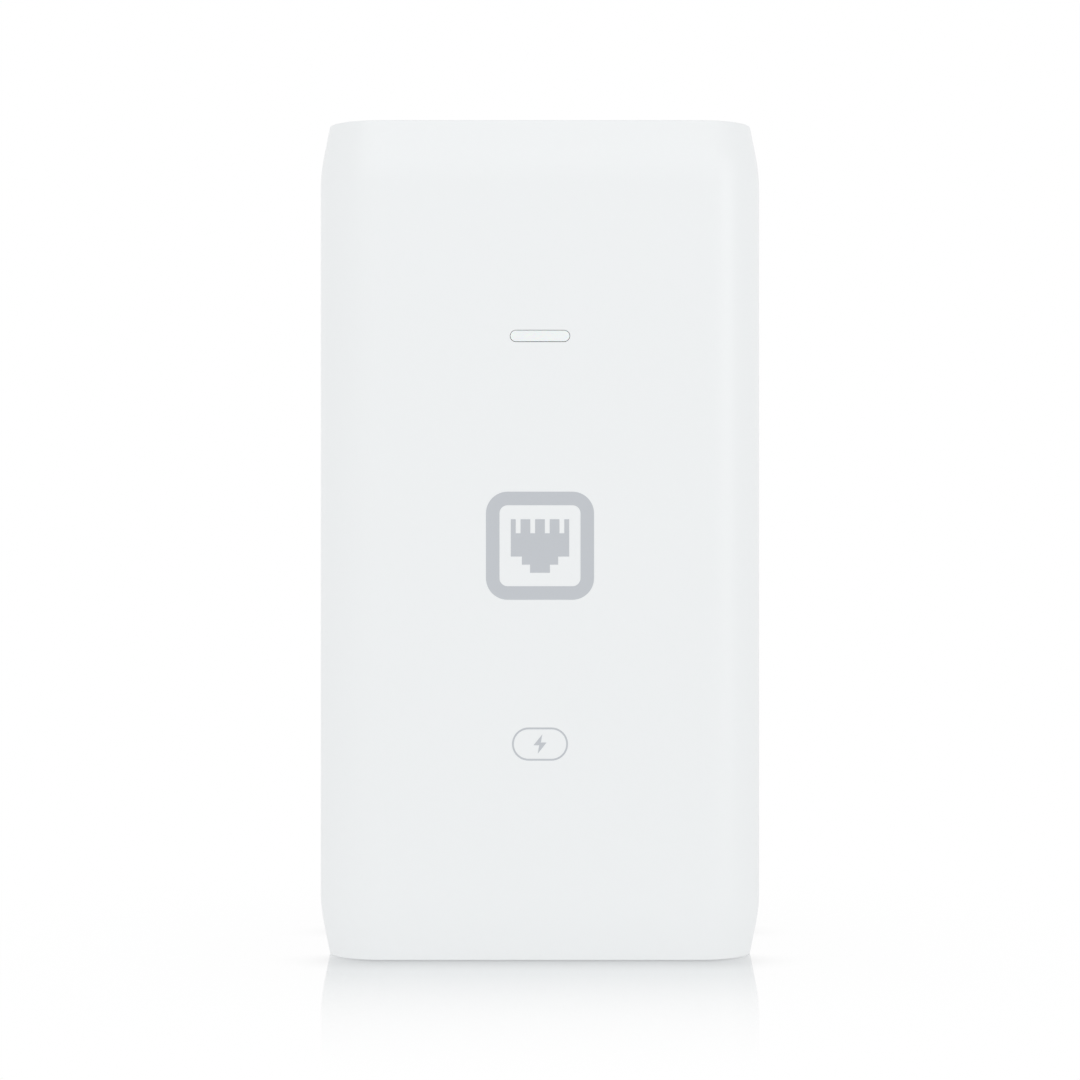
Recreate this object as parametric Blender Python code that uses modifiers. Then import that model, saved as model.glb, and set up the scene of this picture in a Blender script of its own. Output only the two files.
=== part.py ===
"""A power-over-Ethernet injector: a white moulded case standing on its mains end, with two network
jacks in its top end, a mains inlet in its bottom end, the power supply inside, and a wall bracket that
slides on its back.

Numbers are millimetres until a helper hands them to Blender, which gets metres. +Z runs up the case from
the mains end to the jack end, the front faces -Y, and the origin is under the middle, on the surface the
case stands on.
"""

import math

import bmesh
import bpy
from mathutils import Matrix, Vector

MM = 0.001

# The case
WIDTH = 74.4
HEIGHT = 140.0
DEPTH = 40.0
BRACKET_PROUD = 0.5
FRONT_Y = -DEPTH / 2
BACK_Y = DEPTH / 2 - BRACKET_PROUD
CORNER_RADIUS = 10.9
CORNER_STEPS = 10
TAPER_LENGTH = 10.6
TAPER_BEND = 5.7
TAPER_SLOPE = 0.2
BEND_STEPS = 5
EDGE = 0.3
WALL = 2.0
GAP = 0.3
SEAM_Y = 9.0
INNER_FRONT_Y = FRONT_Y + WALL
INNER_BACK_Y = BACK_Y - WALL
INNER_X = WIDTH / 2 - WALL

# The end panels, set back inside each end's rim
PANEL_RECESS = 0.8
PANEL_THICK = 2.4

# The board: parts stand on its front side, so they grow towards -Y from SEAT_Y
BOARD_X = 32.5
BOARD_LOW_Z = 5.0
BOARD_HIGH_Z = 135.0
BOARD_Y = 10.4
BOARD_THICK = 1.6
BOARD_BACK_Y = BOARD_Y + BOARD_THICK
SEAT_Y = BOARD_Y - GAP

# Screws
CASE_SCREWS = [(x, z) for z in (14.0, 126.0) for x in (-28.0, 28.0)]
BOARD_SCREWS = [(-29.0, 52.0), (29.0, 98.0)]
SCREW_RADIUS = 1.4
SCREW_TIP_Y = 1.5
CLEARANCE_RADIUS = 1.8
HEAD_RADIUS = 2.7
HEAD_SINK_Y = 16.3
BOSS_RADIUS = 3.2
POST_RADIUS = 4.5

# The status light
LIGHT_Z = 103.9
LIGHT_WIDTH = 10.0
LIGHT_HEIGHT = 2.0
LIGHT_GAP = 0.25

# The network jacks
JACK_X = 9.0
JACK_SIDES = {"poe": -1, "lan": 1}
JACK_HALF_WIDTH = 7.5
JACK_TOP_Z = 139.0
JACK_DEEP = 20.3
JACK_FRONT_Y = -2.8
JACK_BACK_Y = 9.9
SHEET = 0.25
PORT_HALF_WIDTH = 5.95
PORT_FRONT_Y = 0.6
PORT_BACK_Y = 7.4
PORT_DEEP = 15.0
CONTACT_PITCH = 1.02
CONTACT_COUNT = 8
CONTACT_LENGTH = 9.0
CONTACT_PIVOT_Y = 8.3
CONTACT_PIVOT_Z = 136.4
CONTACT_SLOPE = math.radians(19)

# The mains inlet
INLET_HALF_WIDTH = 14.1
INLET_FRONT_Y = -11.3
INLET_BACK_Y = 9.4
INLET_DEEP = 22.4
INLET_LOW_Z = PANEL_RECESS - 0.2
CAVITY_HALF_WIDTH = 12.2
CAVITY_FRONT_Y = -9.45
CAVITY_BACK_Y = 7.55
CAVITY_CHAMFER = 4.6
CAVITY_DEEP = 17.0
PIN_SPOTS = {"live": (-7.0, 1.05), "neutral": (7.0, 1.05), "earth": (0.0, -2.95)}
PIN_SIZE = (2.0, 4.0)
PIN_TAIL_Z = 27.0

# The wall bracket and the pocket it slides in
POCKET_X = 24.0
POCKET_LOW_Z = 13.0
POCKET_HIGH_Z = 116.0
POCKET_FLOOR_Y = 17.1
PAD_Y = 15.0
BRACKET_X = POCKET_X - GAP
BRACKET_LOW_Z = 25.3
BRACKET_HIGH_Z = POCKET_HIGH_Z - GAP
BRACKET_Y = POCKET_FLOOR_Y + GAP
BRACKET_TRAVEL = 12.0
LUG_ZS = (40.0, 100.0)
LUG_LENGTH = 9.0
LUG_THICK = 0.9
LUG_REACH = 1.2
WALL_HOLE_ZS = (34.0, 107.0)
TONGUE_X = 5.9
TONGUE_LOW_Z = 47.4
TONGUE_PIVOT_Z = 74.7
TONGUE_LOW_Y = 17.9
TONGUE_HIGH_Y = 19.2

# The transformer's middle, which the parts round it are placed from
TRANSFORMER = (3.0, -2.1, 72.0)

LATHE_STEPS = 24

materials = {}


def make_material(name, colour, roughness, metallic=0.0, transmission=0.0):
    material = bpy.data.materials.new(name)
    material.use_nodes = True
    shader = material.node_tree.nodes["Principled BSDF"]
    shader.inputs["Base Color"].default_value = (*colour, 1.0)
    shader.inputs["Roughness"].default_value = roughness
    shader.inputs["Metallic"].default_value = metallic
    shader.inputs["Transmission Weight"].default_value = transmission
    materials[name] = material


def make_materials():
    make_material("white_plastic", (0.86, 0.87, 0.88), 0.32)
    make_material("white_matte_plastic", (0.84, 0.85, 0.86), 0.5)
    make_material("light_pipe", (0.9, 0.93, 0.93), 0.2, transmission=0.3)
    make_material("black_plastic", (0.03, 0.03, 0.035), 0.45)
    make_material("grey_plastic", (0.3, 0.31, 0.33), 0.5)
    make_material("gold", (0.85, 0.62, 0.25), 0.25, metallic=1.0)
    make_material("nickel_steel", (0.72, 0.72, 0.7), 0.28, metallic=1.0)
    make_material("zinc_steel", (0.55, 0.56, 0.58), 0.35, metallic=1.0)
    make_material("aluminium", (0.75, 0.76, 0.77), 0.4, metallic=1.0)
    make_material("green_board", (0.03, 0.2, 0.08), 0.4)
    make_material("ferrite", (0.06, 0.06, 0.065), 0.7)
    make_material("copper_wire", (0.6, 0.25, 0.1), 0.35, metallic=1.0)
    make_material("yellow_tape", (0.8, 0.62, 0.12), 0.45)
    make_material("yellow_film", (0.78, 0.66, 0.2), 0.4)
    make_material("blue_disc", (0.05, 0.18, 0.5), 0.4)
    make_material("green_disc", (0.06, 0.25, 0.12), 0.5)
    make_material("thermal_pad", (0.45, 0.5, 0.62), 0.8)
    make_material("clear_sheet", (0.75, 0.73, 0.65), 0.4)
    make_material("brown_wire", (0.22, 0.09, 0.03), 0.5)
    make_material("blue_wire", (0.03, 0.12, 0.5), 0.5)
    make_material("green_wire", (0.1, 0.4, 0.08), 0.5)


def collection(name):
    made = bpy.data.collections.new(name)
    bpy.context.scene.collection.children.link(made)
    return made


def add(name, mesh, material=None, where="poe_injector"):
    """An object for a mesh, in one of the two collections."""
    mesh.shade_smooth()
    mesh.set_sharp_from_angle(angle=math.radians(35))
    if material:
        mesh.materials.append(materials[material])
    obj = bpy.data.objects.new(name, mesh)
    bpy.data.collections[where].objects.link(obj)
    return obj


def block(name, low, high, material=None, round_axis=None, radius=0.0, steps=3):
    """A box between two corners, with the four edges along round_axis rounded if one is named."""
    low, high = Vector(low) * MM, Vector(high) * MM
    shape = bmesh.new()
    bmesh.ops.create_cube(shape, size=1.0)
    bmesh.ops.scale(shape, vec=high - low, verts=shape.verts)
    if round_axis:
        along = {"x": 0, "y": 1, "z": 2}[round_axis]
        edges = [e for e in shape.edges if abs((e.verts[0].co - e.verts[1].co)[along]) > 1e-9]
        bmesh.ops.bevel(
            shape, geom=edges, offset=radius * MM, segments=steps, affect="EDGES", profile=0.5
        )
    mesh = bpy.data.meshes.new(name)
    shape.to_mesh(mesh)
    shape.free()
    obj = add(name, mesh, material)
    obj.location = (low + high) / 2
    return obj


def drum(name, start, end, radius, material=None, end_radius=None, steps=LATHE_STEPS):
    """A cylinder, or a cone, from one point to another."""
    start, end = Vector(start) * MM, Vector(end) * MM
    last = radius if end_radius is None else end_radius
    shape = bmesh.new()
    bmesh.ops.create_cone(
        shape, cap_ends=True, segments=steps, radius1=radius * MM, radius2=last * MM,
        depth=(end - start).length,
    )
    mesh = bpy.data.meshes.new(name)
    shape.to_mesh(mesh)
    shape.free()
    obj = add(name, mesh, material)
    obj.location = (start + end) / 2
    obj.rotation_euler = (end - start).to_track_quat("Z", "Y").to_euler()
    return obj


def lathe(name, profile, base, direction, material, steps=LATHE_STEPS):
    """A turned piece: profile is (radius, height) pairs, top to bottom, with height along direction."""
    mesh = bpy.data.meshes.new(name)
    points = [(radius * MM, 0.0, height * MM) for radius, height in profile]
    mesh.from_pydata(points, [(i, i + 1) for i in range(len(points) - 1)], [])
    obj = add(name, mesh, material)
    obj.location = Vector(base) * MM
    obj.rotation_euler = Vector(direction).to_track_quat("Z", "Y").to_euler()
    screw = obj.modifiers.new("turn", "SCREW")
    screw.steps = screw.render_steps = steps
    screw.use_merge_vertices = True
    screw.merge_threshold = 0.00001
    screw.use_smooth_shade = True
    return obj


def to_mesh_object(curve_object, material=None):
    """The solid mesh that a curve evaluates to, in place of the curve."""
    name = curve_object.name
    bpy.context.view_layer.update()
    graph = bpy.context.evaluated_depsgraph_get()
    mesh = bpy.data.meshes.new_from_object(curve_object.evaluated_get(graph))
    place = curve_object.matrix_world.copy()
    curve = curve_object.data
    bpy.data.objects.remove(curve_object)
    bpy.data.curves.remove(curve)
    shape = bmesh.new()
    shape.from_mesh(mesh)
    bmesh.ops.remove_doubles(shape, verts=shape.verts, dist=0.00001)
    bmesh.ops.recalc_face_normals(shape, faces=shape.faces)
    shape.to_mesh(mesh)
    shape.free()
    mesh.materials.clear()
    obj = add(name, mesh, material)
    obj.name = name
    obj.matrix_world = place
    return obj


def plate(name, outline, axis, start, end, material=None):
    """A flat outline given thickness. Along z the outline's numbers are (x, y), and along y (x, z)."""
    curve = bpy.data.curves.new(name, "CURVE")
    curve.dimensions = "2D"
    curve.fill_mode = "BOTH"
    curve.extrude = abs(end - start) / 2 * MM
    spline = curve.splines.new("POLY")
    spline.points.add(len(outline) - 1)
    for point, (u, v) in zip(spline.points, outline):
        point.co = (u * MM, v * MM, 0.0, 1.0)
    spline.use_cyclic_u = True
    obj = bpy.data.objects.new(name, curve)
    bpy.data.collections["poe_injector"].objects.link(obj)
    middle = (start + end) / 2 * MM
    if axis == "y":
        obj.rotation_euler.x = math.pi / 2
        obj.location.y = middle
    else:
        obj.location.z = middle
    return to_mesh_object(obj, material)


def wire(name, points, radius, material):
    """A round wire through points, with closed ends."""
    curve = bpy.data.curves.new(name, "CURVE")
    curve.dimensions = "3D"
    curve.bevel_depth = radius * MM
    curve.bevel_resolution = 2
    curve.use_fill_caps = True
    spline = curve.splines.new("POLY")
    spline.points.add(len(points) - 1)
    for point, place in zip(spline.points, points):
        point.co = (*(Vector(place) * MM), 1.0)
    obj = bpy.data.objects.new(name, curve)
    bpy.data.collections["poe_injector"].objects.link(obj)
    return to_mesh_object(obj, material)


def combine(target, operation, tool):
    """Joins a tool to the target, or cuts it away, and keeps the tool as a hidden helper."""
    for holder in list(tool.users_collection):
        holder.objects.unlink(tool)
    bpy.data.collections["helpers"].objects.link(tool)
    tool.hide_render = True
    tool.display_type = "WIRE"
    boolean = target.modifiers.new(tool.name, "BOOLEAN")
    boolean.operation = operation
    boolean.object = tool


def cut(target, tool):
    combine(target, "DIFFERENCE", tool)


def join(target, tool):
    combine(target, "UNION", tool)


def soften(obj, width, segments=1):
    """Breaks an object's sharp edges."""
    bevel = obj.modifiers.new("soften", "BEVEL")
    bevel.width = width * MM
    bevel.segments = segments
    bevel.limit_method = "ANGLE"
    bevel.angle_limit = math.radians(40)


# The case's shape: a rounded box whose walls bend inwards near each end and then run straight to its rim


def lean(z):
    """How far the case's walls stand in from their widest at a height z."""
    reach = min(max(TAPER_LENGTH - min(z, HEIGHT - z), 0.0), TAPER_LENGTH)
    if reach < TAPER_BEND:
        return TAPER_SLOPE * reach**2 / (2 * TAPER_BEND)
    return TAPER_SLOPE * (reach - TAPER_BEND / 2)


def section(inset):
    """The case's outline seen from above, moved in by inset."""
    half = WIDTH / 2 - CORNER_RADIUS
    corners = (
        (half, FRONT_Y + CORNER_RADIUS, -90),
        (half, BACK_Y - CORNER_RADIUS, 0),
        (-half, BACK_Y - CORNER_RADIUS, 90),
        (-half, FRONT_Y + CORNER_RADIUS, 180),
    )
    radius = CORNER_RADIUS - inset
    points = []
    for x, y, first in corners:
        for step in range(CORNER_STEPS + 1):
            angle = math.radians(first + 90 * step / CORNER_STEPS)
            points.append((x + radius * math.cos(angle), y + radius * math.sin(angle)))
    return points


def loft(name, levels, material=None):
    """A closed solid through the case's outline at each (height, inset)."""
    shape = bmesh.new()
    rings = []
    for z, inset in levels:
        rings.append([shape.verts.new((x * MM, y * MM, z * MM)) for x, y in section(inset)])
    for below, above in zip(rings, rings[1:]):
        for i, corner in enumerate(below):
            after = (i + 1) % len(below)
            shape.faces.new((corner, below[after], above[after], above[i]))
    shape.faces.new(reversed(rings[0]))
    shape.faces.new(rings[-1])
    mesh = bpy.data.meshes.new(name)
    shape.to_mesh(mesh)
    shape.free()
    return add(name, mesh, material)


def taper_heights():
    straight = TAPER_LENGTH - TAPER_BEND
    rising = [straight + TAPER_BEND * step / BEND_STEPS for step in range(BEND_STEPS + 1)]
    return rising + [HEIGHT - z for z in reversed(rising)]


def outer_levels():
    inner = [(z, lean(z)) for z in [EDGE, *taper_heights(), HEIGHT - EDGE]]
    return [(0.0, lean(0.0) + EDGE), *inner, (HEIGHT, lean(HEIGHT) + EDGE)]


def inner_levels():
    heights = [0.0, *taper_heights(), HEIGHT]
    levels = [(z, lean(z) + WALL) for z in heights]
    past = 2.0
    return [(-past, levels[0][1]), *levels, (HEIGHT + past, levels[-1][1])]


def case_tube(name, low_y, high_y):
    """The hollow case, open at both ends, kept between two planes across its depth."""
    tube = loft(name, outer_levels(), "white_plastic")
    cut(tube, loft(name + "_hollow", inner_levels()))
    far = WIDTH
    past = 10.0
    if low_y is not None:
        cut(tube, block(name + "_front_off", (-far, -far, -past), (far, low_y, HEIGHT + past)))
    if high_y is not None:
        cut(tube, block(name + "_back_off", (-far, high_y, -past), (far, far, HEIGHT + past)))
    return tube


def keep_inside_wall(obj):
    """Trims a piece that joins the case's wall, so that it ends inside the wall's thickness."""
    depth = WALL * 0.4
    combine(obj, "INTERSECT", loft(f"{obj.name}_limit", [(z, inset + depth) for z, inset in outer_levels()]))
    return obj


def panel_ledges(target, low_y, high_y):
    """A ledge behind each end panel, so that it can't be pushed in."""
    half, thick = 18.0, 1.2
    behind = PANEL_RECESS + PANEL_THICK + 0.4
    for end, low_z in (("low", behind), ("high", HEIGHT - behind - thick)):
        name = f"{target.name}_ledge_{end}"
        join(target, block(name, (-half, low_y, low_z), (half, high_y, low_z + thick)))


def build_front_housing():
    housing = case_tube("front_housing", None, SEAM_Y)
    panel_ledges(housing, INNER_FRONT_Y - 0.5, INNER_FRONT_Y + 3.2)
    pilot_y = -2.0
    for i, (x, z) in enumerate([*CASE_SCREWS, *BOARD_SCREWS], 1):
        boss = drum(f"boss_{i}", (x, FRONT_Y, z), (x, SEAT_Y, z), BOSS_RADIUS, steps=16)
        join(housing, keep_inside_wall(boss))
        cut(housing, drum(f"pilot_{i}", (x, pilot_y, z), (x, SEAT_Y + 2, z), SCREW_RADIUS + GAP, steps=12))
    slot = block(
        "light_slot",
        (-LIGHT_WIDTH / 2, FRONT_Y - 1, LIGHT_Z - LIGHT_HEIGHT / 2),
        (LIGHT_WIDTH / 2, INNER_FRONT_Y + 1, LIGHT_Z + LIGHT_HEIGHT / 2),
        round_axis="y", radius=LIGHT_HEIGHT / 2 - 0.01, steps=6,
    )
    cut(housing, slot)


def build_rear_cover():
    cover = case_tube("rear_cover", SEAM_Y + GAP, None)
    panel_ledges(cover, INNER_BACK_Y - 3.3, INNER_BACK_Y + 0.5)
    pad_x, pad_low_z, pad_high_z = 27.5, 10.0, 119.0
    join(cover, block("pocket_pad", (-pad_x, PAD_Y, pad_low_z), (pad_x, BACK_Y - 0.9, pad_high_z)))
    lip_low_z, lip_high_z, lip_thick = 14.0, 126.0, 1.0
    for side in (-1, 1):
        outer = INNER_X - GAP
        lip_xs = sorted((side * (outer - lip_thick), side * outer))
        root_xs = sorted((side * (outer - lip_thick), side * (INNER_X + 0.6)))
        lip_y, root_y, top_y = SEAM_Y - 2.5, SEAM_Y + 0.6, SEAM_Y + 2.0
        lip = block(
            f"lip_{side}", (lip_xs[0], lip_y, lip_low_z), (lip_xs[1], root_y + 0.7, lip_high_z)
        )
        join(cover, lip)
        root = block(
            f"lip_root_{side}",
            (root_xs[0], root_y, lip_low_z + 0.5),
            (root_xs[1], top_y, lip_high_z - 0.5),
        )
        join(cover, root)
    cut_screw_posts(cover)
    cut_bracket_pocket(cover)


def cut_screw_posts(cover):
    """The posts that hold the board down, each with a case screw through it, its head sunk in the back."""
    past_y = BACK_Y + 2
    for i, (x, z) in enumerate(CASE_SCREWS, 1):
        post = drum(f"post_{i}", (x, BOARD_BACK_Y + GAP, z), (x, BACK_Y, z), POST_RADIUS, steps=20)
        join(cover, keep_inside_wall(post))
        cut(cover, drum(f"screw_hole_{i}", (x, BOARD_Y, z), (x, past_y, z), CLEARANCE_RADIUS, steps=12))
        cut(cover, drum(f"head_sink_{i}", (x, HEAD_SINK_Y, z), (x, past_y, z), HEAD_RADIUS + GAP, steps=20))


def cut_bracket_pocket(cover):
    """The pocket in the back: undercut side grooves for the bracket's lugs, and notches that let them out."""
    out_y = BACK_Y + 3
    pocket = block(
        "pocket", (-POCKET_X, POCKET_FLOOR_Y, POCKET_LOW_Z), (POCKET_X, out_y, POCKET_HIGH_Z),
        round_axis="y", radius=3.0,
    )
    cut(cover, pocket)
    groove_x = POCKET_X + 1.5
    groove_high_y = BRACKET_Y + LUG_THICK + GAP
    notch_low_z = LUG_ZS[0] - BRACKET_TRAVEL - LUG_LENGTH / 2 - 0.5
    groove = block(
        "groove",
        (-groove_x, POCKET_FLOOR_Y + 0.01, notch_low_z),
        (groove_x, groove_high_y, LUG_ZS[1] + LUG_LENGTH / 2 + 0.7),
    )
    cut(cover, groove)
    for z in LUG_ZS:
        middle = z - BRACKET_TRAVEL
        half = LUG_LENGTH / 2 + 0.5
        notch = block(
            f"notch_{z:.0f}",
            (-groove_x + 0.02, POCKET_FLOOR_Y + 0.02, middle - half),
            (groove_x - 0.02, out_y, middle + half),
        )
        cut(cover, notch)
    catch = block("catch_groove", (-3.2, 16.1, 35.0), (3.2, POCKET_FLOOR_Y + 1, 53.0))
    cut(cover, catch)


def panel_levels(end):
    """The heights and insets of an end panel, which leans in with the walls and so can't be drawn out."""
    near, far = PANEL_RECESS, PANEL_RECESS + PANEL_THICK
    heights = (near, (near + far) / 2, far)
    if end == "high":
        heights = [HEIGHT - z for z in reversed(heights)]
    return [(z, lean(z) + WALL + GAP) for z in heights]


def build_port_end_panel():
    panel = loft("port_end_panel", panel_levels("high"), "white_matte_plastic")
    for name, side in JACK_SIDES.items():
        x = side * JACK_X
        half = JACK_HALF_WIDTH + 0.15 + SHEET + GAP
        window = block(
            f"{name}_window",
            (x - half, JACK_FRONT_Y - 0.15 - SHEET - GAP, HEIGHT - 6),
            (x + half, JACK_BACK_Y + 0.6, HEIGHT + 2),
            round_axis="z", radius=0.5, steps=2,
        )
        cut(panel, window)


def build_inlet_end_panel():
    panel = loft("inlet_end_panel", panel_levels("low"), "white_matte_plastic")
    window = block(
        "inlet_window",
        (-INLET_HALF_WIDTH - GAP, INLET_FRONT_Y - GAP, -2),
        (INLET_HALF_WIDTH + GAP, INLET_BACK_Y + GAP, 6),
        round_axis="z", radius=1.8, steps=3,
    )
    cut(panel, window)


def build_light_pipe():
    """The lens in the front, its flange behind the wall, and the stem that reaches down to the light."""
    lens_x = LIGHT_WIDTH / 2 - LIGHT_GAP
    lens_z = LIGHT_HEIGHT / 2 - LIGHT_GAP
    flange_y = INNER_FRONT_Y + GAP
    pipe = block(
        "status_light_pipe",
        (-lens_x, FRONT_Y, LIGHT_Z - lens_z),
        (lens_x, flange_y + 0.6, LIGHT_Z + lens_z),
        "light_pipe", round_axis="y", radius=lens_z - 0.01, steps=6,
    )
    join(pipe, block("light_flange", (-6.2, flange_y, LIGHT_Z - 2.2), (6.2, flange_y + 1.2, LIGHT_Z + 2.2)))
    join(pipe, block("light_stem", (-3.0, flange_y + 0.6, LIGHT_Z - 0.65), (3.0, 8.2, LIGHT_Z + 0.65)))
    block("status_led", (-1.6, 8.6, LIGHT_Z - 0.8), (1.6, SEAT_Y, LIGHT_Z + 0.8), "yellow_tape")


def build_screw(name, x, z, seat_y):
    """A cross-head screw driven from the back, with its head resting at seat_y."""
    head_high = 1.8
    screw = drum(name, (x, seat_y, z), (x, seat_y + head_high, z), HEAD_RADIUS, "zinc_steel", steps=20)
    join(screw, drum(f"{name}_shank", (x, SCREW_TIP_Y, z), (x, seat_y + 0.5, z), SCREW_RADIUS, steps=12))
    slot_long, slot_wide, slot_deep = 1.6, 0.35, 1.0
    top = seat_y + head_high
    upright = (slot_wide, slot_long)
    level = (slot_long, slot_wide)
    for tag, (half_x, half_z) in (("upright", upright), ("level", level)):
        recess = block(
            f"{name}_{tag}",
            (x - half_x, top - slot_deep, z - half_z),
            (x + half_x, top + 1, z + half_z),
        )
        cut(screw, recess)


def build_screws():
    for i, (x, z) in enumerate(CASE_SCREWS, 1):
        build_screw(f"case_screw_{i}", x, z, HEAD_SINK_Y + GAP)
    for i, (x, z) in enumerate(BOARD_SCREWS, 1):
        build_screw(f"board_screw_{i}", x, z, BOARD_BACK_Y + GAP)


def pivot(name, place):
    """An empty on a moving piece's axis."""
    empty = bpy.data.objects.new(name, None)
    empty.location = Vector(place) * MM
    empty.empty_display_size = 5 * MM
    bpy.data.collections["poe_injector"].objects.link(empty)
    return empty


def hang(obj, empty):
    """Parents an object to a pivot and leaves it where it is."""
    bpy.context.view_layer.update()
    obj.parent = empty
    obj.matrix_parent_inverse = empty.matrix_world.inverted()


def build_wall_bracket():
    high_y = DEPTH / 2
    bracket = block(
        "wall_bracket", (-BRACKET_X, BRACKET_Y, BRACKET_LOW_Z), (BRACKET_X, high_y, BRACKET_HIGH_Z),
        "white_matte_plastic", round_axis="y", radius=2.7,
    )
    for i, z in enumerate(LUG_ZS, 1):
        lug = block(
            f"lugs_{i}",
            (-BRACKET_X - LUG_REACH, BRACKET_Y, z - LUG_LENGTH / 2),
            (BRACKET_X + LUG_REACH, BRACKET_Y + LUG_THICK, z + LUG_LENGTH / 2),
        )
        join(bracket, lug)
    for i, z in enumerate(WALL_HOLE_ZS, 1):
        cut(bracket, drum(f"wall_hole_{i}", (0, 10, z), (0, 25, z), 2.2, steps=20))
        sink_start, sink_end = (0, BRACKET_Y - 0.05, z), (0, BRACKET_Y + 2.0, z)
        countersink = drum(f"countersink_{i}", sink_start, sink_end, 4.3, end_radius=2.1, steps=20)
        cut(bracket, countersink)
    window = block(
        "tongue_window", (-TONGUE_X - 0.7, 10, TONGUE_LOW_Z - 1.2), (TONGUE_X + 0.7, 25, TONGUE_PIVOT_Z + GAP)
    )
    cut(bracket, window)
    near_x, far_x, low_z, high_z = 11.5, 18.0, 46.0, 95.0
    for side in (-1, 1):
        xs = sorted((side * near_x, side * far_x))
        opening = block(
            f"bracket_opening_{side}", (xs[0], 10, low_z), (xs[1], 25, high_z), round_axis="y", radius=2.0
        )
        cut(bracket, opening)
    hang(bracket, pivot("bracket_slide", (0, high_y, (BRACKET_LOW_Z + BRACKET_HIGH_Z) / 2)))

    tongue = block(
        "bracket_latch", (-TONGUE_X, TONGUE_LOW_Y, TONGUE_LOW_Z), (TONGUE_X, TONGUE_HIGH_Y, TONGUE_PIVOT_Z),
        "white_matte_plastic",
    )
    join(tongue, block("catch_nose", (-2.5, 16.5, 49.0), (2.5, TONGUE_LOW_Y + 0.3, 51.6)))
    dip_y = TONGUE_HIGH_Y + 0.9
    cut(tongue, drum("finger_dip", (-10, dip_y, 51.5), (10, dip_y, 51.5), 1.5, steps=16))
    hang(tongue, pivot("latch_hinge", (0, (TONGUE_LOW_Y + TONGUE_HIGH_Y) / 2, TONGUE_PIVOT_Z)))


# The network jacks


def build_jack(name, side):
    x = side * JACK_X
    housing = block(
        f"{name}_jack_housing",
        (x - JACK_HALF_WIDTH, JACK_FRONT_Y, JACK_TOP_Z - JACK_DEEP),
        (x + JACK_HALF_WIDTH, JACK_BACK_Y, JACK_TOP_Z),
        "black_plastic",
    )
    floor_z, past_z = JACK_TOP_Z - PORT_DEEP, JACK_TOP_Z + 1
    cut(housing, block(
        f"{name}_port",
        (x - PORT_HALF_WIDTH, PORT_FRONT_Y, floor_z),
        (x + PORT_HALF_WIDTH, PORT_BACK_Y, past_z),
    ))
    for tag, half, low_y in (("wide", 3.3, PORT_FRONT_Y - 1.4), ("narrow", 2.0, PORT_FRONT_Y - 2.5)):
        cut(housing, block(
            f"{name}_keyway_{tag}", (x - half, low_y, floor_z + 0.3), (x + half, PORT_FRONT_Y + 0.5, past_z)
        ))
    comb_half = CONTACT_COUNT * CONTACT_PITCH / 2 + 0.4
    cut(housing, block(
        f"{name}_comb_recess",
        (x - comb_half, PORT_BACK_Y - 0.5, CONTACT_PIVOT_Z - CONTACT_LENGTH - 1.0),
        (x + comb_half, JACK_BACK_Y - 0.5, CONTACT_PIVOT_Z + 0.9),
    ))
    build_shield(name, x)
    build_contacts(name, x)


def build_shield(name, x):
    """The folded sheet round a jack: closed behind and at the sides, with a window at the port."""
    clear = 0.15
    half = JACK_HALF_WIDTH + clear
    low_z, high_z = JACK_TOP_Z - JACK_DEEP - clear, JACK_TOP_Z + clear
    shield = block(
        f"{name}_jack_shield",
        (x - half - SHEET, JACK_FRONT_Y - clear - SHEET, low_z - SHEET),
        (x + half + SHEET, SEAT_Y, high_z + SHEET),
        "nickel_steel",
    )
    cut(shield, block(
        f"{name}_shield_inside", (x - half, JACK_FRONT_Y - clear, low_z), (x + half, SEAT_Y + 1, high_z)
    ))
    cut(shield, block(
        f"{name}_shield_window",
        (x - PORT_HALF_WIDTH - 0.3, PORT_FRONT_Y - 0.3, high_z - 1),
        (x + PORT_HALF_WIDTH + 0.3, PORT_BACK_Y + 0.3, high_z + 1),
    ))
    cut(shield, block(
        f"{name}_shield_keyway",
        (x - 3.6, PORT_FRONT_Y - 2.3, high_z - 0.9),
        (x + 3.6, PORT_FRONT_Y + 0.5, high_z + 0.9),
    ))


def build_contacts(name, x):
    """Eight wires that lean across the port from a bar at its mouth, and press back as a plug goes in."""
    bar_half = CONTACT_COUNT * CONTACT_PITCH / 2
    comb = drum(
        f"{name}_jack_contacts",
        (x - bar_half, CONTACT_PIVOT_Y, CONTACT_PIVOT_Z),
        (x + bar_half, CONTACT_PIVOT_Y, CONTACT_PIVOT_Z),
        0.45, "gold", steps=12,
    )
    wire_wide, wire_thick = 0.46, 0.3
    for i in range(CONTACT_COUNT):
        across = x + (i - (CONTACT_COUNT - 1) / 2) * CONTACT_PITCH
        low = (across - wire_wide / 2, CONTACT_PIVOT_Y - wire_thick / 2, CONTACT_PIVOT_Z - CONTACT_LENGTH)
        high = (across + wire_wide / 2, CONTACT_PIVOT_Y + wire_thick / 2, CONTACT_PIVOT_Z)
        strip = block(f"{name}_wire_{i}", low, high)
        turn_about_x(strip, CONTACT_PIVOT_Y, CONTACT_PIVOT_Z, CONTACT_SLOPE)
        join(comb, strip)
    hang(comb, pivot(f"{name}_contact_pivot", (x, CONTACT_PIVOT_Y, CONTACT_PIVOT_Z)))


def turn_about_x(obj, y, z, angle):
    """Turns an object about a line along x, so that what hangs below the line swings towards the front."""
    centre = Matrix.Translation(Vector((0, y, z)) * MM)
    bpy.context.view_layer.update()
    obj.matrix_world = centre @ Matrix.Rotation(-angle, 4, "X") @ centre.inverted() @ obj.matrix_world


# The mains inlet


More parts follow.
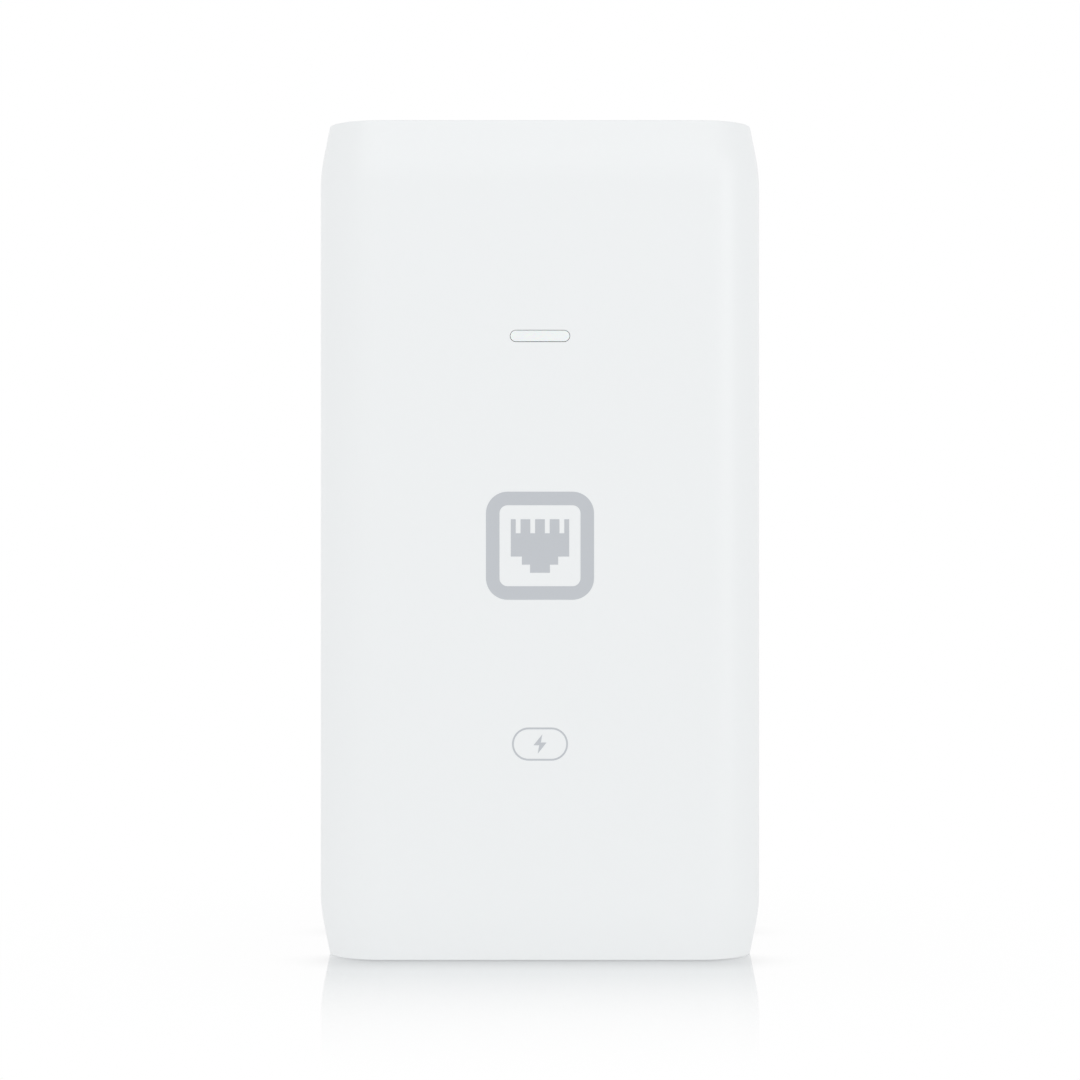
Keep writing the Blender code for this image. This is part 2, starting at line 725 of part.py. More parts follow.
def build_inlet():
    body = block(
        "inlet_body",
        (-INLET_HALF_WIDTH, INLET_FRONT_Y, INLET_LOW_Z),
        (INLET_HALF_WIDTH, INLET_BACK_Y, INLET_LOW_Z + INLET_DEEP),
        "black_plastic", round_axis="z", radius=1.5,
    )
    x, low_y, high_y, corner = CAVITY_HALF_WIDTH, CAVITY_FRONT_Y, CAVITY_BACK_Y, CAVITY_CHAMFER
    outline = (
        (-x, high_y), (-x, low_y + corner), (-x + corner, low_y),
        (x - corner, low_y), (x, low_y + corner), (x, high_y),
    )
    cut(body, plate("inlet_cavity", outline, "z", -2.0, CAVITY_DEEP))
    half_x, half_y = PIN_SIZE[0] / 2, PIN_SIZE[1] / 2
    for name, (pin_x, pin_y) in PIN_SPOTS.items():
        hole = block(
            f"{name}_pin_hole",
            (pin_x - half_x - GAP, pin_y - half_y - GAP, CAVITY_DEEP - 2),
            (pin_x + half_x + GAP, pin_y + half_y + GAP, CAVITY_DEEP + 12),
        )
        cut(body, hole)
        tip_z = 3.0 if name == "earth" else 4.0
        pin = block(
            f"inlet_pin_{name}",
            (pin_x - half_x, pin_y - half_y, tip_z),
            (pin_x + half_x, pin_y + half_y, PIN_TAIL_Z),
            "nickel_steel",
        )
        soften(pin, 0.4)
    for name, material, land_x in (
        ("live", "brown_wire", -10.0), ("neutral", "blue_wire", 10.0), ("earth", "green_wire", 0.0)
    ):
        build_mains_wire(name, material, land_x)


def build_mains_wire(name, material, land_x):
    """The wire from a pin's tail over to the board."""
    x, y = PIN_SPOTS[name]
    start_z, land_z, bend = PIN_TAIL_Z + GAP, 32.0, 1.5
    points = (
        (x, y, start_z),
        (x, y, land_z - bend),
        ((x + land_x) / 2, y + bend, land_z),
        (land_x, y + 2 * bend, land_z),
        (land_x, SEAT_Y, land_z),
    )
    wire(f"{name}_wire", points, 0.9, material)


# The board and what stands on it


def build_board():
    board = block(
        "power_board", (-BOARD_X, BOARD_Y, BOARD_LOW_Z), (BOARD_X, BOARD_BACK_Y, BOARD_HIGH_Z), "green_board",
        round_axis="y", radius=1.5, steps=2,
    )
    before_y, past_y = BOARD_Y - 2, BOARD_BACK_Y + 2
    for i, (x, z) in enumerate([*CASE_SCREWS, *BOARD_SCREWS], 1):
        cut(board, drum(f"board_hole_{i}", (x, before_y, z), (x, past_y, z), CLEARANCE_RADIUS, steps=12))
    cut(board, block("isolation_slot", (-6.0, before_y, 87.6), (-1.0, past_y, 88.9)))
    block("insulation_sheet", (-22.5, 14.2, 8.0), (22.5, 14.6, 132.0), "clear_sheet")


def build_mains_parts():
    """The fuse and filter that the mains meets first."""
    fuse_radius = 2.6
    fuse_y = SEAT_Y - fuse_radius
    drum("fuse", (19.6, fuse_y, 8.0), (19.6, fuse_y, 28.0), fuse_radius, "nickel_steel", steps=16)
    drum("varistor", (-22.4, 3.9, 22.0), (-18.0, 3.9, 22.0), 6.0, "blue_disc", steps=20)
    drum("thermistor", (20.5, 5.4, 38.0), (24.5, 5.4, 38.0), 4.5, "green_disc", steps=20)
    film = block("x_capacitor", (2.0, -6.0, 36.5), (19.0, SEAT_Y, 45.0), "yellow_film")
    soften(film, 0.5)
    build_choke(-17.0, 43.5)
    bridge = block("bridge_rectifier", (1.0, -5.0, 48.0), (20.0, SEAT_Y, 51.6), "black_plastic")
    soften(bridge, 0.4)
    block("power_control_chip", (22.5, 8.5, 47.0), (27.5, SEAT_Y, 51.0), "black_plastic")


def build_choke(x, z):
    """A ring core lying on the board, with a winding round each side of it."""
    low_y, high_y = -0.4, 9.4
    core_low, core_high = low_y + 1.5, high_y - 1.5
    core = drum("choke_core", (x, core_low, z), (x, core_high, z), 8.6, "ferrite")
    cut(core, drum("choke_core_eye", (x, core_low - 1, z), (x, core_high + 1, z), 5.2))
    for tag, side in (("left", -1), ("right", 1)):
        winding = drum(f"choke_winding_{tag}", (x, low_y, z), (x, high_y, z), 10.2, "copper_wire")
        cut(winding, drum(f"choke_eye_{tag}", (x, low_y - 1, z), (x, high_y + 1, z), 3.6))
        ring = drum(f"choke_ring_{tag}", (x, core_low - GAP, z), (x, core_high + GAP, z), 8.6 + GAP)
        cut(winding, ring_with_eye(ring, f"choke_ring_eye_{tag}", x, z, low_y, high_y))
        reach, past = 12.0, 3.0
        xs = sorted((x - side * reach, x + side * past))
        cut(winding, block(f"choke_half_{tag}", (xs[0], -5, z - 15), (xs[1], 15, z + 15)))


def ring_with_eye(ring, name, x, z, low_y, high_y):
    """The space a ring core fills, as a tool that can cut a winding."""
    cut(ring, drum(name, (x, low_y - 1, z), (x, high_y + 1, z), 5.2 - GAP))
    return ring


def build_transformer():
    """Two E-shaped ferrite halves whose middle leg runs up through a wound bobbin."""
    x, y, z = TRANSFORMER
    half_x, half_y, half_z = 14.0, 7.0, 15.0
    core = block(
        "transformer_core",
        (x - half_x, y - half_y, z - half_z),
        (x + half_x, y + half_y, z + half_z),
        "ferrite",
    )
    leg, side_leg, yoke = 4.0, 4.0, 4.7
    window_half_z = half_z - yoke
    for side in (-1, 1):
        xs = sorted((x + side * leg, x + side * (half_x - side_leg)))
        window = block(
            f"core_window_{side}", (xs[0], y - 20, z - window_half_z), (xs[1], y + 20, z + window_half_z)
        )
        cut(core, window)

    bore_x, bore_y = leg + GAP, half_y + GAP
    tube_wall = 0.7
    flange_x, flange_y, flange_z = 9.6, 11.4, window_half_z - GAP
    bobbin = block(
        "transformer_bobbin",
        (x - bore_x - tube_wall, y - bore_y - tube_wall, z - flange_z),
        (x + bore_x + tube_wall, y + bore_y + tube_wall, z + flange_z),
        "grey_plastic",
    )
    flange_thick = 1.1
    for side in (-1, 1):
        zs = sorted((z + side * flange_z, z + side * (flange_z - flange_thick)))
        join(bobbin, block(
            f"bobbin_flange_{side}", (x - flange_x, y - flange_y, zs[0]), (x + flange_x, y + flange_y, zs[1])
        ))
    cut(bobbin, block(
        "bobbin_bore", (x - bore_x, y - bore_y, z - 20), (x + bore_x, y + bore_y, z + 20)
    ))

    turns_x, turns_y, turns_z = 9.4, 11.2, flange_z - flange_thick - GAP
    winding = block(
        "transformer_winding",
        (x - turns_x, y - turns_y, z - turns_z),
        (x + turns_x, y + turns_y, z + turns_z),
        "yellow_tape", round_axis="z", radius=2.0,
    )
    inner_x, inner_y = bore_x + tube_wall + GAP, bore_y + tube_wall + GAP
    cut(winding, block(
        "winding_bore", (x - inner_x, y - inner_y, z - 20), (x + inner_x, y + inner_y, z + 20)
    ))


def can_profile(radius, length):
    """Half a capacitor can's outline: a domed edge at the far end and a rolled groove near its foot."""
    return (
        (0.0, length), (radius - 0.8, length), (radius, length - 0.8),
        (radius, 2.6), (radius - 0.5, 2.0), (radius, 1.4), (radius, 0.0), (0.0, 0.0),
    )


def build_capacitors():
    bulk_radius = 9.0
    lathe(
        "bulk_capacitor", can_profile(bulk_radius, 36.0), (-22.3, SEAT_Y - bulk_radius, 56.5), (0, 0, 1),
        "black_plastic",
    )
    for i, x in enumerate((-25.0, -13.5), 1):
        foot = (x, SEAT_Y, 101.0)
        lathe(f"output_capacitor_{i}", can_profile(5.0, 19.0), foot, (0, -1, 0), "black_plastic", steps=18)
    drum("y_capacitor", (0.0, 5.8, 93.0), (4.0, 5.8, 93.0), 4.0, "blue_disc", steps=20)


def build_heatsink(name, corner, run, length, out, fins):
    """A finned plate standing on the board: run is the way it's long and out the way its fins face."""
    plate_thick, fin_thick, fin_long, low_y = 2.0, 1.2, 5.0, -11.0
    corner, run, out = Vector(corner), Vector(run), Vector(out)
    step = (length - fin_thick) / (fins - 1)
    teeth = []
    for i in reversed(range(fins)):
        near = corner + run * step * i + out * plate_thick
        far = near + run * fin_thick
        teeth += [far, far + out * fin_long, near + out * fin_long, near]
    outline = [corner, corner + run * length, *teeth[1:-1]]
    return plate(name, outline, "y", low_y, SEAT_Y, "aluminium")


def fasten(name, device, heatsink, head, tip, through):
    """A screw through a device's tab into its heatsink, from head to tip, in holes that end at through."""
    hole_radius, head_radius, head_high, shank_radius = 1.7, 2.2, 1.6, 1.3
    for i, target in enumerate((device, heatsink)):
        cut(target, drum(f"{name}_hole_{i}", head, through, hole_radius, steps=12))
    along = (Vector(tip) - Vector(head)).normalized()
    seat = Vector(head) + along * head_high
    screw = drum(name, head, seat, head_radius, "zinc_steel", steps=16)
    join(screw, drum(f"{name}_shank", seat - along * 0.5, tip, shank_radius, steps=12))


def build_power_stage():
    """The switching transistor and the output diode, each screwed to its own heatsink."""
    heatsink = build_heatsink("primary_heatsink", (23.4, 56.0), (0, 1), 30.0, (1, 0), 5)
    transistor = block("power_transistor", (18.8, -5.0, 66.0), (23.1, 4.0, 76.0), "black_plastic")
    join(transistor, block("transistor_tab", (21.9, -10.4, 66.0), (23.1, -4.5, 76.0)))
    for i in range(3):
        leg_z = 71.0 + (i - 1) * 2.54
        join(transistor, block(f"transistor_leg_{i}", (20.4, 3.5, leg_z - 0.4), (21.2, SEAT_Y, leg_z + 0.4)))
    head, tip, through = ((x, -7.7, 67.3) for x in (20.0, 24.9, 27.0))
    fasten("transistor_screw", transistor, heatsink, head, tip, through)

    heatsink = build_heatsink("secondary_heatsink", (25.5, 93.2), (-1, 0), 19.0, (0, 1), 4)
    diode = block("output_diode", (12.0, -5.0, 88.4), (22.0, 4.0, 92.9), "black_plastic")
    join(diode, block("diode_tab", (12.0, -10.4, 91.7), (22.0, -4.5, 92.9)))
    for i in range(3):
        leg_x = 17.0 + (i - 1) * 2.54
        join(diode, block(f"diode_leg_{i}", (leg_x - 0.4, 3.5, 90.0), (leg_x + 0.4, SEAT_Y, 90.8)))
    head, tip, through = ((15.9, -7.7, z) for z in (89.8, 94.7, 97.0))
    fasten("diode_screw", diode, heatsink, head, tip, through)


def build_inductor(x, z):
    """A flanged ferrite bobbin standing on the board, with its winding in the waist."""
    radius, waist_radius, low_y, high_y = 6.0, 4.0, 2.0, 8.2
    core = drum("output_inductor", (x, 0.2, z), (x, SEAT_Y, z), radius, "ferrite", steps=20)
    waist = drum("inductor_waist", (x, low_y, z), (x, high_y, z), radius + 1, steps=20)
    cut(waist, drum("inductor_leg", (x, low_y - 1, z), (x, high_y + 1, z), waist_radius, steps=20))
    cut(core, waist)
    turns = drum(
        "inductor_winding", (x, low_y + GAP, z), (x, high_y - GAP, z), radius - 0.4, "copper_wire", steps=20
    )
    cut(turns, drum("winding_eye", (x, low_y - 1, z), (x, high_y + 1, z), waist_radius + GAP, steps=20))


def build_signal_parts():
    build_inductor(-24.0, 113.0)
    block("optocoupler", (-11.0, 6.6, 89.6), (-4.4, SEAT_Y, 94.2), "black_plastic")
    block("power_port_chip", (18.0, 8.9, 104.0), (26.0, SEAT_Y, 112.0), "black_plastic")
    for name, side in JACK_SIDES.items():
        x = side * JACK_X
        magnetics = block(
            f"{name}_magnetics", (x - 6.2, 4.2, 107.5), (x + 6.2, SEAT_Y, 116.5), "black_plastic"
        )
        soften(magnetics, 0.4)


def build_heat_spreader():
    """An aluminium sheet behind the front wall, and the pad that brings the transformer's heat to it."""
    near_y, far_y, fold_y = INNER_FRONT_Y + 0.4, INNER_FRONT_Y + 1.6, INNER_FRONT_Y + 4.4
    sheet = block(
        "heat_spreader", (-24.0, near_y, 50.0), (24.0, far_y, 98.0), "aluminium", round_axis="y", radius=2.0
    )
    join(sheet, block("spreader_fold", (-23.6, near_y, 52.0), (-22.4, fold_y, 54.8)))
    pad_top_y = far_y + GAP
    winding_top_y = TRANSFORMER[1] - 11.4
    block("thermal_pad", (-4.0, pad_top_y, 64.0), (10.0, winding_top_y - GAP, 80.0), "thermal_pad")


def clear_scene():
    for obj in list(bpy.data.objects):
        bpy.data.objects.remove(obj)


def main():
    clear_scene()
    collection("poe_injector")
    collection("helpers")
    make_materials()
    build_front_housing()
    build_rear_cover()
    build_port_end_panel()
    build_inlet_end_panel()
    build_light_pipe()
    build_screws()
    build_wall_bracket()
    for name, side in JACK_SIDES.items():
        build_jack(name, side)
    build_inlet()
    build_board()
    build_mains_parts()
    build_transformer()
    build_capacitors()
    build_power_stage()
    build_signal_parts()
    build_heat_spreader()


main()
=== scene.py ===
"""The looks of a power-over-Ethernet injector: finer shells, prints, jack and bracket details, materials,
a white studio and the camera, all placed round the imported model. Lengths here are millimetres until a
helper turns them into Blender's metres."""

import math

import bmesh
import bpy
from mathutils import Matrix, Vector


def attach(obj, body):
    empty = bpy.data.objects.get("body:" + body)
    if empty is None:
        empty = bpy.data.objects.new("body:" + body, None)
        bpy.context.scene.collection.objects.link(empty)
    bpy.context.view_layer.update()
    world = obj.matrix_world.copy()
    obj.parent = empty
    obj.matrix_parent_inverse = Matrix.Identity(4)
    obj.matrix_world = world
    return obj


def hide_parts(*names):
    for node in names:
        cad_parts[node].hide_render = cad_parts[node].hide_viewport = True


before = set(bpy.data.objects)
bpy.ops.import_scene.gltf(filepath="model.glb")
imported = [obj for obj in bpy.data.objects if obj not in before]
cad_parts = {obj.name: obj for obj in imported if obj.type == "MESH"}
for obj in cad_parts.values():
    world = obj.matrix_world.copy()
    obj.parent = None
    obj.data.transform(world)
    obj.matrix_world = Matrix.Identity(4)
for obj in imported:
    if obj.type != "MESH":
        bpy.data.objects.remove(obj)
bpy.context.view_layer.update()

MM = 0.001

# The case, as the CAD has it, but each shell reaches a little way into the seam's gap
WIDTH = 74.4
HEIGHT = 140.0
FRONT_Y = -20.0
BACK_Y = 19.5
CORNER_RADIUS = 10.9
TAPER_LENGTH = 10.6
TAPER_BEND = 5.7
TAPER_SLOPE = 0.2
WALL = 2.0
SEAM_Y = 9.0
SEAM_REACH = 0.08
GAP = 0.3
PANEL_RECESS = 0.8
PANEL_THICK = 2.4

# Screws, each an across and a height
CASE_SCREWS = [(x, z) for z in (14.0, 126.0) for x in (-28.0, 28.0)]
BOARD_SCREWS = [(-29.0, 52.0), (29.0, 98.0)]
SEAT_Y = 10.1
BOARD_BACK_Y = 12.0
SCREW_TIP_Y, HEAD_SINK_Y = 1.5, 16.3
BOSS_RADIUS, POST_RADIUS = 3.2, 4.5
PILOT_RADIUS, CLEAR_RADIUS, SINK_RADIUS = 1.7, 1.8, 3.0

# How finely the shells are divided, what counts as no width, and the angle that reads as an edge
CORNER_STEPS = 24
BEND_STEPS = 10
FLAT_STEP = 6.0
SLIVER = 0.0002
CREASE_ANGLE = 38

# The status light's slot and the printed marks on the front
SLOT_SIZE = (10.0, 2.0)
LIGHT_Z = 103.9
EMBLEM_Z = 69.05
PILL_Z = 36.1
EMBLEM_SIZE = 17.95
PRINT_THICK = 0.02

# The network jacks, each by the middle of its port
JACKS = {"poe": -9.0, "lan": 9.0}
JACK_HALF = 7.5
JACK_LOW_Y, JACK_HIGH_Y = -2.8, 9.9
JACK_LOW_Z, JACK_HIGH_Z = 118.7, 139.0
PORT_HALF = 5.95
PORT_LOW_Y, PORT_HIGH_Y = 0.6, 7.4
PORT_DEEP = 15.0
PIVOT_Y, PIVOT_Z = 8.3, 136.4
CONTACT_PITCH = 1.02

# The mains inlet
INLET_HALF = 14.1
INLET_LOW_Y, INLET_HIGH_Y = -11.3, 9.4
INLET_LOW_Z, INLET_HIGH_Z = 0.6, 23.0
CAVITY_DEEP = 17.0
PINS = {"live": (-7.0, 1.05), "neutral": (7.0, 1.05), "earth": (0.0, -2.95)}

# The wall bracket, and the pocket it slides in
POCKET_HALF = 24.0
POCKET_LOW_Z, POCKET_HIGH_Z = 13.0, 116.0
POCKET_FLOOR_Y = 17.1
BRACKET_HALF = 23.7
BRACKET_LOW_Z, BRACKET_HIGH_Z = 25.3, 115.7
BRACKET_LOW_Y, BRACKET_HIGH_Y = 17.4, 20.0
LUG_ZS = (40.0, 100.0)
WALL_HOLE_ZS = (34.0, 107.0)

# The camera, level with the case's middle
CAMERA_DISTANCE = 480.0
FRAME_WIDTH = 179.4
CAMERA_Z = 70.0
SENSOR = 36.0

# The studio's light as matt surfaces get it: a slope and a droop along each axis, and less from behind
SKY_LEVEL = 1.24
SKY_BENDS = (("X", -0.015, -0.05), ("Y", -0.03, 0.0), ("Z", 0.15, -0.45))
SKY_BEHIND = -0.22


# Materials


class Nodes:
    """A node tree, with short calls that add and join nodes."""

    def __init__(self, tree):
        self.tree = tree

    def node(self, kind, **settings):
        made = self.tree.nodes.new(kind)
        for key, value in settings.items():
            setattr(made, key, value)
        return made

    def link(self, source, target):
        self.tree.links.new(source, target)

    def math(self, operation, first, second, clamp=False):
        made = self.node("ShaderNodeMath", operation=operation, use_clamp=clamp)
        for socket, value in zip(made.inputs, (first, second)):
            if isinstance(value, (int, float)):
                socket.default_value = value
            else:
                self.link(value, socket)
        return made.outputs[0]

    def mix(self, factor, first, second):
        """A blend of two shaders."""
        made = self.node("ShaderNodeMixShader")
        for socket, source in zip(made.inputs, (factor, first, second)):
            self.link(source, socket)
        return made.outputs[0]


class Shader(Nodes):
    """A material and its node tree."""

    def __init__(self, name):
        self.material = bpy.data.materials.new(name)
        self.material.use_nodes = True
        super().__init__(self.material.node_tree)
        self.surface = self.tree.nodes["Principled BSDF"]
        self.place = self.node("ShaderNodeTexCoord").outputs["Object"]

    def feed(self, source, name):
        self.link(source, self.surface.inputs[name])

    def noise(self, size, detail=2.0, stretch=(1, 1, 1)):
        """Noise from 0 to 1 whose lumps are about size millimetres across."""
        scale = self.node("ShaderNodeMapping")
        scale.inputs["Scale"].default_value = [axis / (size * MM) for axis in stretch]
        self.link(self.place, scale.inputs["Vector"])
        made = self.node("ShaderNodeTexNoise")
        made.inputs["Scale"].default_value = 1.0
        made.inputs["Detail"].default_value = detail
        self.link(scale.outputs[0], made.inputs["Vector"])
        return made.outputs["Fac"]

    def between(self, factor, low, high):
        made = self.node("ShaderNodeMapRange")
        made.inputs["To Min"].default_value = low
        made.inputs["To Max"].default_value = high
        self.link(factor, made.inputs["Value"])
        return made.outputs[0]

    def mix_colour(self, factor, first, second):
        made = self.node("ShaderNodeMix", data_type="RGBA")
        made.inputs["Factor"].default_value = 0.5
        self.link(factor, made.inputs["Factor"])
        for socket, value in ((made.inputs["A"], first), (made.inputs["B"], second)):
            if isinstance(value, tuple):
                socket.default_value = (*value, 1.0)
            else:
                self.link(value, socket)
        return made.outputs["Result"]

    def bump(self, height, strength, distance_mm):
        made = self.node("ShaderNodeBump")
        made.inputs["Strength"].default_value = strength
        made.inputs["Distance"].default_value = distance_mm * MM
        self.link(height, made.inputs["Height"])
        self.feed(made.outputs[0], "Normal")

    def set(self, **values):
        names = {
            "roughness": "Roughness", "metallic": "Metallic", "coat": "Coat Weight",
            "subsurface": "Subsurface Weight", "subsurface_scale": "Subsurface Scale",
        }
        for key, value in values.items():
            self.surface.inputs[names[key]].default_value = value


def shade(colour, factor):
    return tuple(min(channel * factor, 1.0) for channel in colour)


def moulded(name, colour, roughness, grain=0.25, depth=0.004, spread=0.02, **more):
    """Moulded plastic: a fine spark-eroded grain, slightly uneven gloss and a faint drift in colour."""
    shader = Shader(name)
    drift = shader.noise(22.0, 2.0)
    tint = shader.mix_colour(drift, shade(colour, 1 - spread), shade(colour, 1 + spread))
    shader.feed(tint, "Base Color")
    gloss = shader.between(shader.noise(4.0, 3.0), roughness - 0.03, roughness + 0.03)
    shader.feed(gloss, "Roughness")
    shader.bump(shader.noise(grain, 2.0), 0.35, depth)
    shader.set(**more)
    return shader.material


def insulation(name, colour):
    """A wire's soft plastic cover."""
    return moulded(name, colour, 0.45, grain=0.5, depth=0.01, spread=0.08)


def metal(name, colour, roughness, stretch=(1, 1, 1), size=0.5, depth=0.003, spread=0.06):
    """Plated or rolled metal: streaks along the rolling direction in both tone and gloss."""
    shader = Shader(name)
    streak = shader.noise(size, 3.0, stretch)
    tint = shader.mix_colour(streak, shade(colour, 1 - spread), shade(colour, 1 + spread))
    shader.feed(tint, "Base Color")
    gloss = shader.between(streak, roughness - 0.06, roughness + 0.08)
    shader.feed(gloss, "Roughness")
    shader.bump(streak, 0.3, depth)
    shader.set(metallic=1.0)
    return shader.material


def speckled(name, colour, fleck, roughness, size=0.4, depth=0.02):
    """Sintered or dipped ceramic: small flecks and a pitted skin."""
    shader = Shader(name)
    flecks = shader.noise(size, 4.0)
    tint = shader.mix_colour(shader.between(flecks, -0.6, 1.6), colour, fleck)
    shader.feed(tint, "Base Color")
    shader.bump(flecks, 0.5, depth)
    shader.set(roughness=roughness)
    return shader.material


def banded(name, colour, groove_shade_colour, pitch, roughness, metallic=0.0, depth=0.06):
    """Wound wire or wrapped tape: bands up the height, raised in the middle of each turn, with painted shade
    darkening the colour towards the grooves between turns.
    """
    shader = Shader(name)
    split = shader.node("ShaderNodeSeparateXYZ")
    shader.link(shader.place, split.inputs[0])
    phase = shader.math("MULTIPLY", split.outputs["Z"], 2 * math.pi / (pitch * MM))
    crest = shader.between(shader.math("SINE", phase, 0.0), 0.25, 0.75)
    # Painted shade: the tint darkens towards the grooves between turns
    tint = shader.mix_colour(shader.math("POWER", crest, 0.5, clamp=True), groove_shade_colour, colour)
    shader.feed(tint, "Base Color")
    shader.bump(crest, 0.8, depth)
    shader.set(roughness=roughness, metallic=metallic)
    return shader.material


def board_material(name):
    """Solder mask over glass cloth: a faint weave, darker where copper pours lie under the mask."""
    shader = Shader(name)
    pour = shader.between(shader.noise(5.0, 1.0), -3.0, 4.0)
    tint = shader.mix_colour(pour, (0.012, 0.10, 0.04), (0.02, 0.16, 0.06))
    shader.feed(tint, "Base Color")
    weave = shader.math("ADD", shader.noise(0.5, 1.0, (1, 1, 8)), shader.noise(0.5, 1.0, (8, 1, 1)))
    shader.bump(weave, 0.2, 0.01)
    shader.set(roughness=0.3, coat=0.3)
    return shader.material


def make_materials():
    cool_white = (0.872, 0.892, 0.900)
    return {
        "case": moulded("case_white", cool_white, 0.36, 0.22, depth=0.0025, spread=0.004),
        "panel": moulded("panel_white", shade(cool_white, 0.97), 0.5, grain=0.3, depth=0.006, spread=0.006),
        "bracket": moulded("bracket_white", shade(cool_white, 0.95), 0.55, 0.35, depth=0.008, spread=0.008),
        "lens": moulded(
            "lens_frosted", (0.90, 0.925, 0.928), 0.25, grain=0.6, depth=0.001, spread=0.004,
            subsurface=0.1, subsurface_scale=0.001,
        ),
        "print": moulded("print_grey", (0.531, 0.556, 0.590), 0.5, grain=0.15, depth=0.002, spread=0.01),
        "black": moulded("jack_black", (0.022, 0.022, 0.024), 0.42, grain=0.25, depth=0.006, spread=0.15),
        "inlet": moulded("inlet_black", (0.03, 0.03, 0.032), 0.38, grain=0.4, depth=0.008, spread=0.15),
        "chip": moulded("chip_black", (0.025, 0.025, 0.027), 0.6, grain=0.2, depth=0.01, spread=0.2),
        "grey": moulded("bobbin_grey", (0.22, 0.23, 0.25), 0.5, grain=0.4, depth=0.008, spread=0.08),
        "yellow_film": moulded("film_box_yellow", (0.72, 0.58, 0.12), 0.35, 0.8, depth=0.01, spread=0.06),
        "led": moulded("led_amber", (0.75, 0.62, 0.22), 0.3, grain=0.3, depth=0.004, spread=0.05),
        "sleeve": moulded("can_sleeve", (0.03, 0.035, 0.07), 0.28, grain=1.5, depth=0.01, spread=0.12),
        "sheet": moulded("fish_paper", (0.62, 0.55, 0.42), 0.75, grain=0.5, depth=0.02, spread=0.08),
        "pad": moulded("silicone_pad", (0.42, 0.47, 0.58), 0.8, grain=0.4, depth=0.03, spread=0.08),
        "brown": insulation("wire_brown", (0.16, 0.06, 0.02)),
        "blue": insulation("wire_blue", (0.03, 0.1, 0.42)),
        "green": insulation("wire_green", (0.10, 0.36, 0.06)),
        "gold": metal("contact_gold", (0.86, 0.62, 0.26), 0.24, size=0.6),
        "nickel": metal("nickel_plate", (0.70, 0.69, 0.67), 0.27, stretch=(1, 1, 0.08), size=0.35),
        "pin": metal("pin_nickel", (0.68, 0.67, 0.64), 0.3, stretch=(1, 1, 0.1), size=0.4),
        "zinc": metal("screw_zinc", (0.50, 0.52, 0.55), 0.32, size=0.8),
        "aluminium": metal("rolled_aluminium", (0.72, 0.73, 0.74), 0.38, stretch=(1, 1, 0.05), size=0.5),
        "copper": banded("wound_copper", (0.62, 0.25, 0.09), (0.12, 0.04, 0.02), 0.9, 0.35, metallic=0.8),
        "tape": banded("wrapped_tape", (0.78, 0.6, 0.1), (0.5, 0.36, 0.05), 4.4, 0.35, depth=0.03),
        "ferrite": speckled("ferrite_black", (0.035, 0.035, 0.038), (0.10, 0.10, 0.105), 0.65),
        "blue_disc": speckled("disc_blue", (0.03, 0.12, 0.42), (0.06, 0.2, 0.55), 0.35, size=1.2),
        "green_disc": speckled("disc_green", (0.03, 0.16, 0.08), (0.07, 0.26, 0.14), 0.5, size=1.2),
        "board": board_material("solder_mask"),
    }


# Mesh helpers


def finish_shape(shape, name, material=None):
    """Turns a bmesh into an object."""
    mesh = bpy.data.meshes.new(name)
    shape.to_mesh(mesh)
    shape.free()
    if material:
        mesh.materials.append(material)
    obj = bpy.data.objects.new(name, mesh)
    bpy.context.scene.collection.objects.link(obj)
    return obj


def block(name, low, high, material=None):
    low, high = Vector(low) * MM, Vector(high) * MM
    shape = bmesh.new()
    bmesh.ops.create_cube(shape, size=1.0)
    bmesh.ops.scale(shape, vec=high - low, verts=shape.verts)
    bmesh.ops.translate(shape, vec=(low + high) / 2, verts=shape.verts)
    return finish_shape(shape, name, material)


def drum(name, start, end, radius, material=None, steps=32):
    start, end = Vector(start) * MM, Vector(end) * MM
    shape = bmesh.new()
    radius *= MM
    bmesh.ops.create_cone(
        shape, cap_ends=True, segments=steps, radius1=radius, radius2=radius, depth=(end - start).length
    )
    turn = (end - start).to_track_quat("Z", "Y").to_matrix().to_4x4()
    bmesh.ops.transform(shape, matrix=Matrix.Translation((start + end) / 2) @ turn, verts=shape.verts)
    return finish_shape(shape, name, material)


def prism(name, sections, axis="Z", material=None):
    """A solid through like-numbered outlines, each at its level along an axis."""
    rings = []
    for level, points in sections:
        rings.append([(a, b, level) if axis == "Z" else (a, level, b) for a, b in points])
    return ringed(name, rings, material)


def turned(name, profile, x, z, material, steps=40):
    """A turned solid about a line from front to back. The profile runs along it as radius and y."""
    rings = []
    turns = [2 * math.pi * i / steps for i in range(steps)]
    for radius, y in profile:
        rings.append([(x + radius * math.cos(turn), y, z + radius * math.sin(turn)) for turn in turns])
    return ringed(name, rings, material)


def ringed(name, rings, material):
    """A closed skin over rings of like-numbered points."""
    shape = bmesh.new()
    loops = [[shape.verts.new(Vector(place) * MM) for place in ring] for ring in rings]
    for near, far in zip(loops, loops[1:]):
        for i in range(len(near)):
            after = (i + 1) % len(near)
            shape.faces.new((near[i], near[after], far[after], far[i]))
    shape.faces.new(loops[0])
    shape.faces.new(loops[-1])
    bmesh.ops.recalc_face_normals(shape, faces=shape.faces)
    return finish_shape(shape, name, material)


def rounded_box(name, low, high, radius, axis, material=None, steps=8):
    """A box whose four edges along an axis are round."""
    up, along = (1, 2) if axis == "Z" else (2, 1)
    centre = ((low[0] + high[0]) / 2, (low[up] + high[up]) / 2)
    points = rounded_rectangle(high[0] - low[0], high[up] - low[up], radius, steps, centre)
    return prism(name, [(low[along], points), (high[along], points)], axis, material)


def boolean(target, operation, tool):
    made = target.modifiers.new(tool.name, "BOOLEAN")
    made.operation = operation
    made.object = tool
    tool.hide_render = True
    tool.hide_viewport = True


def cut(target, tool):
    boolean(target, "DIFFERENCE", tool)


def join(target, tool):
    boolean(target, "UNION", tool)


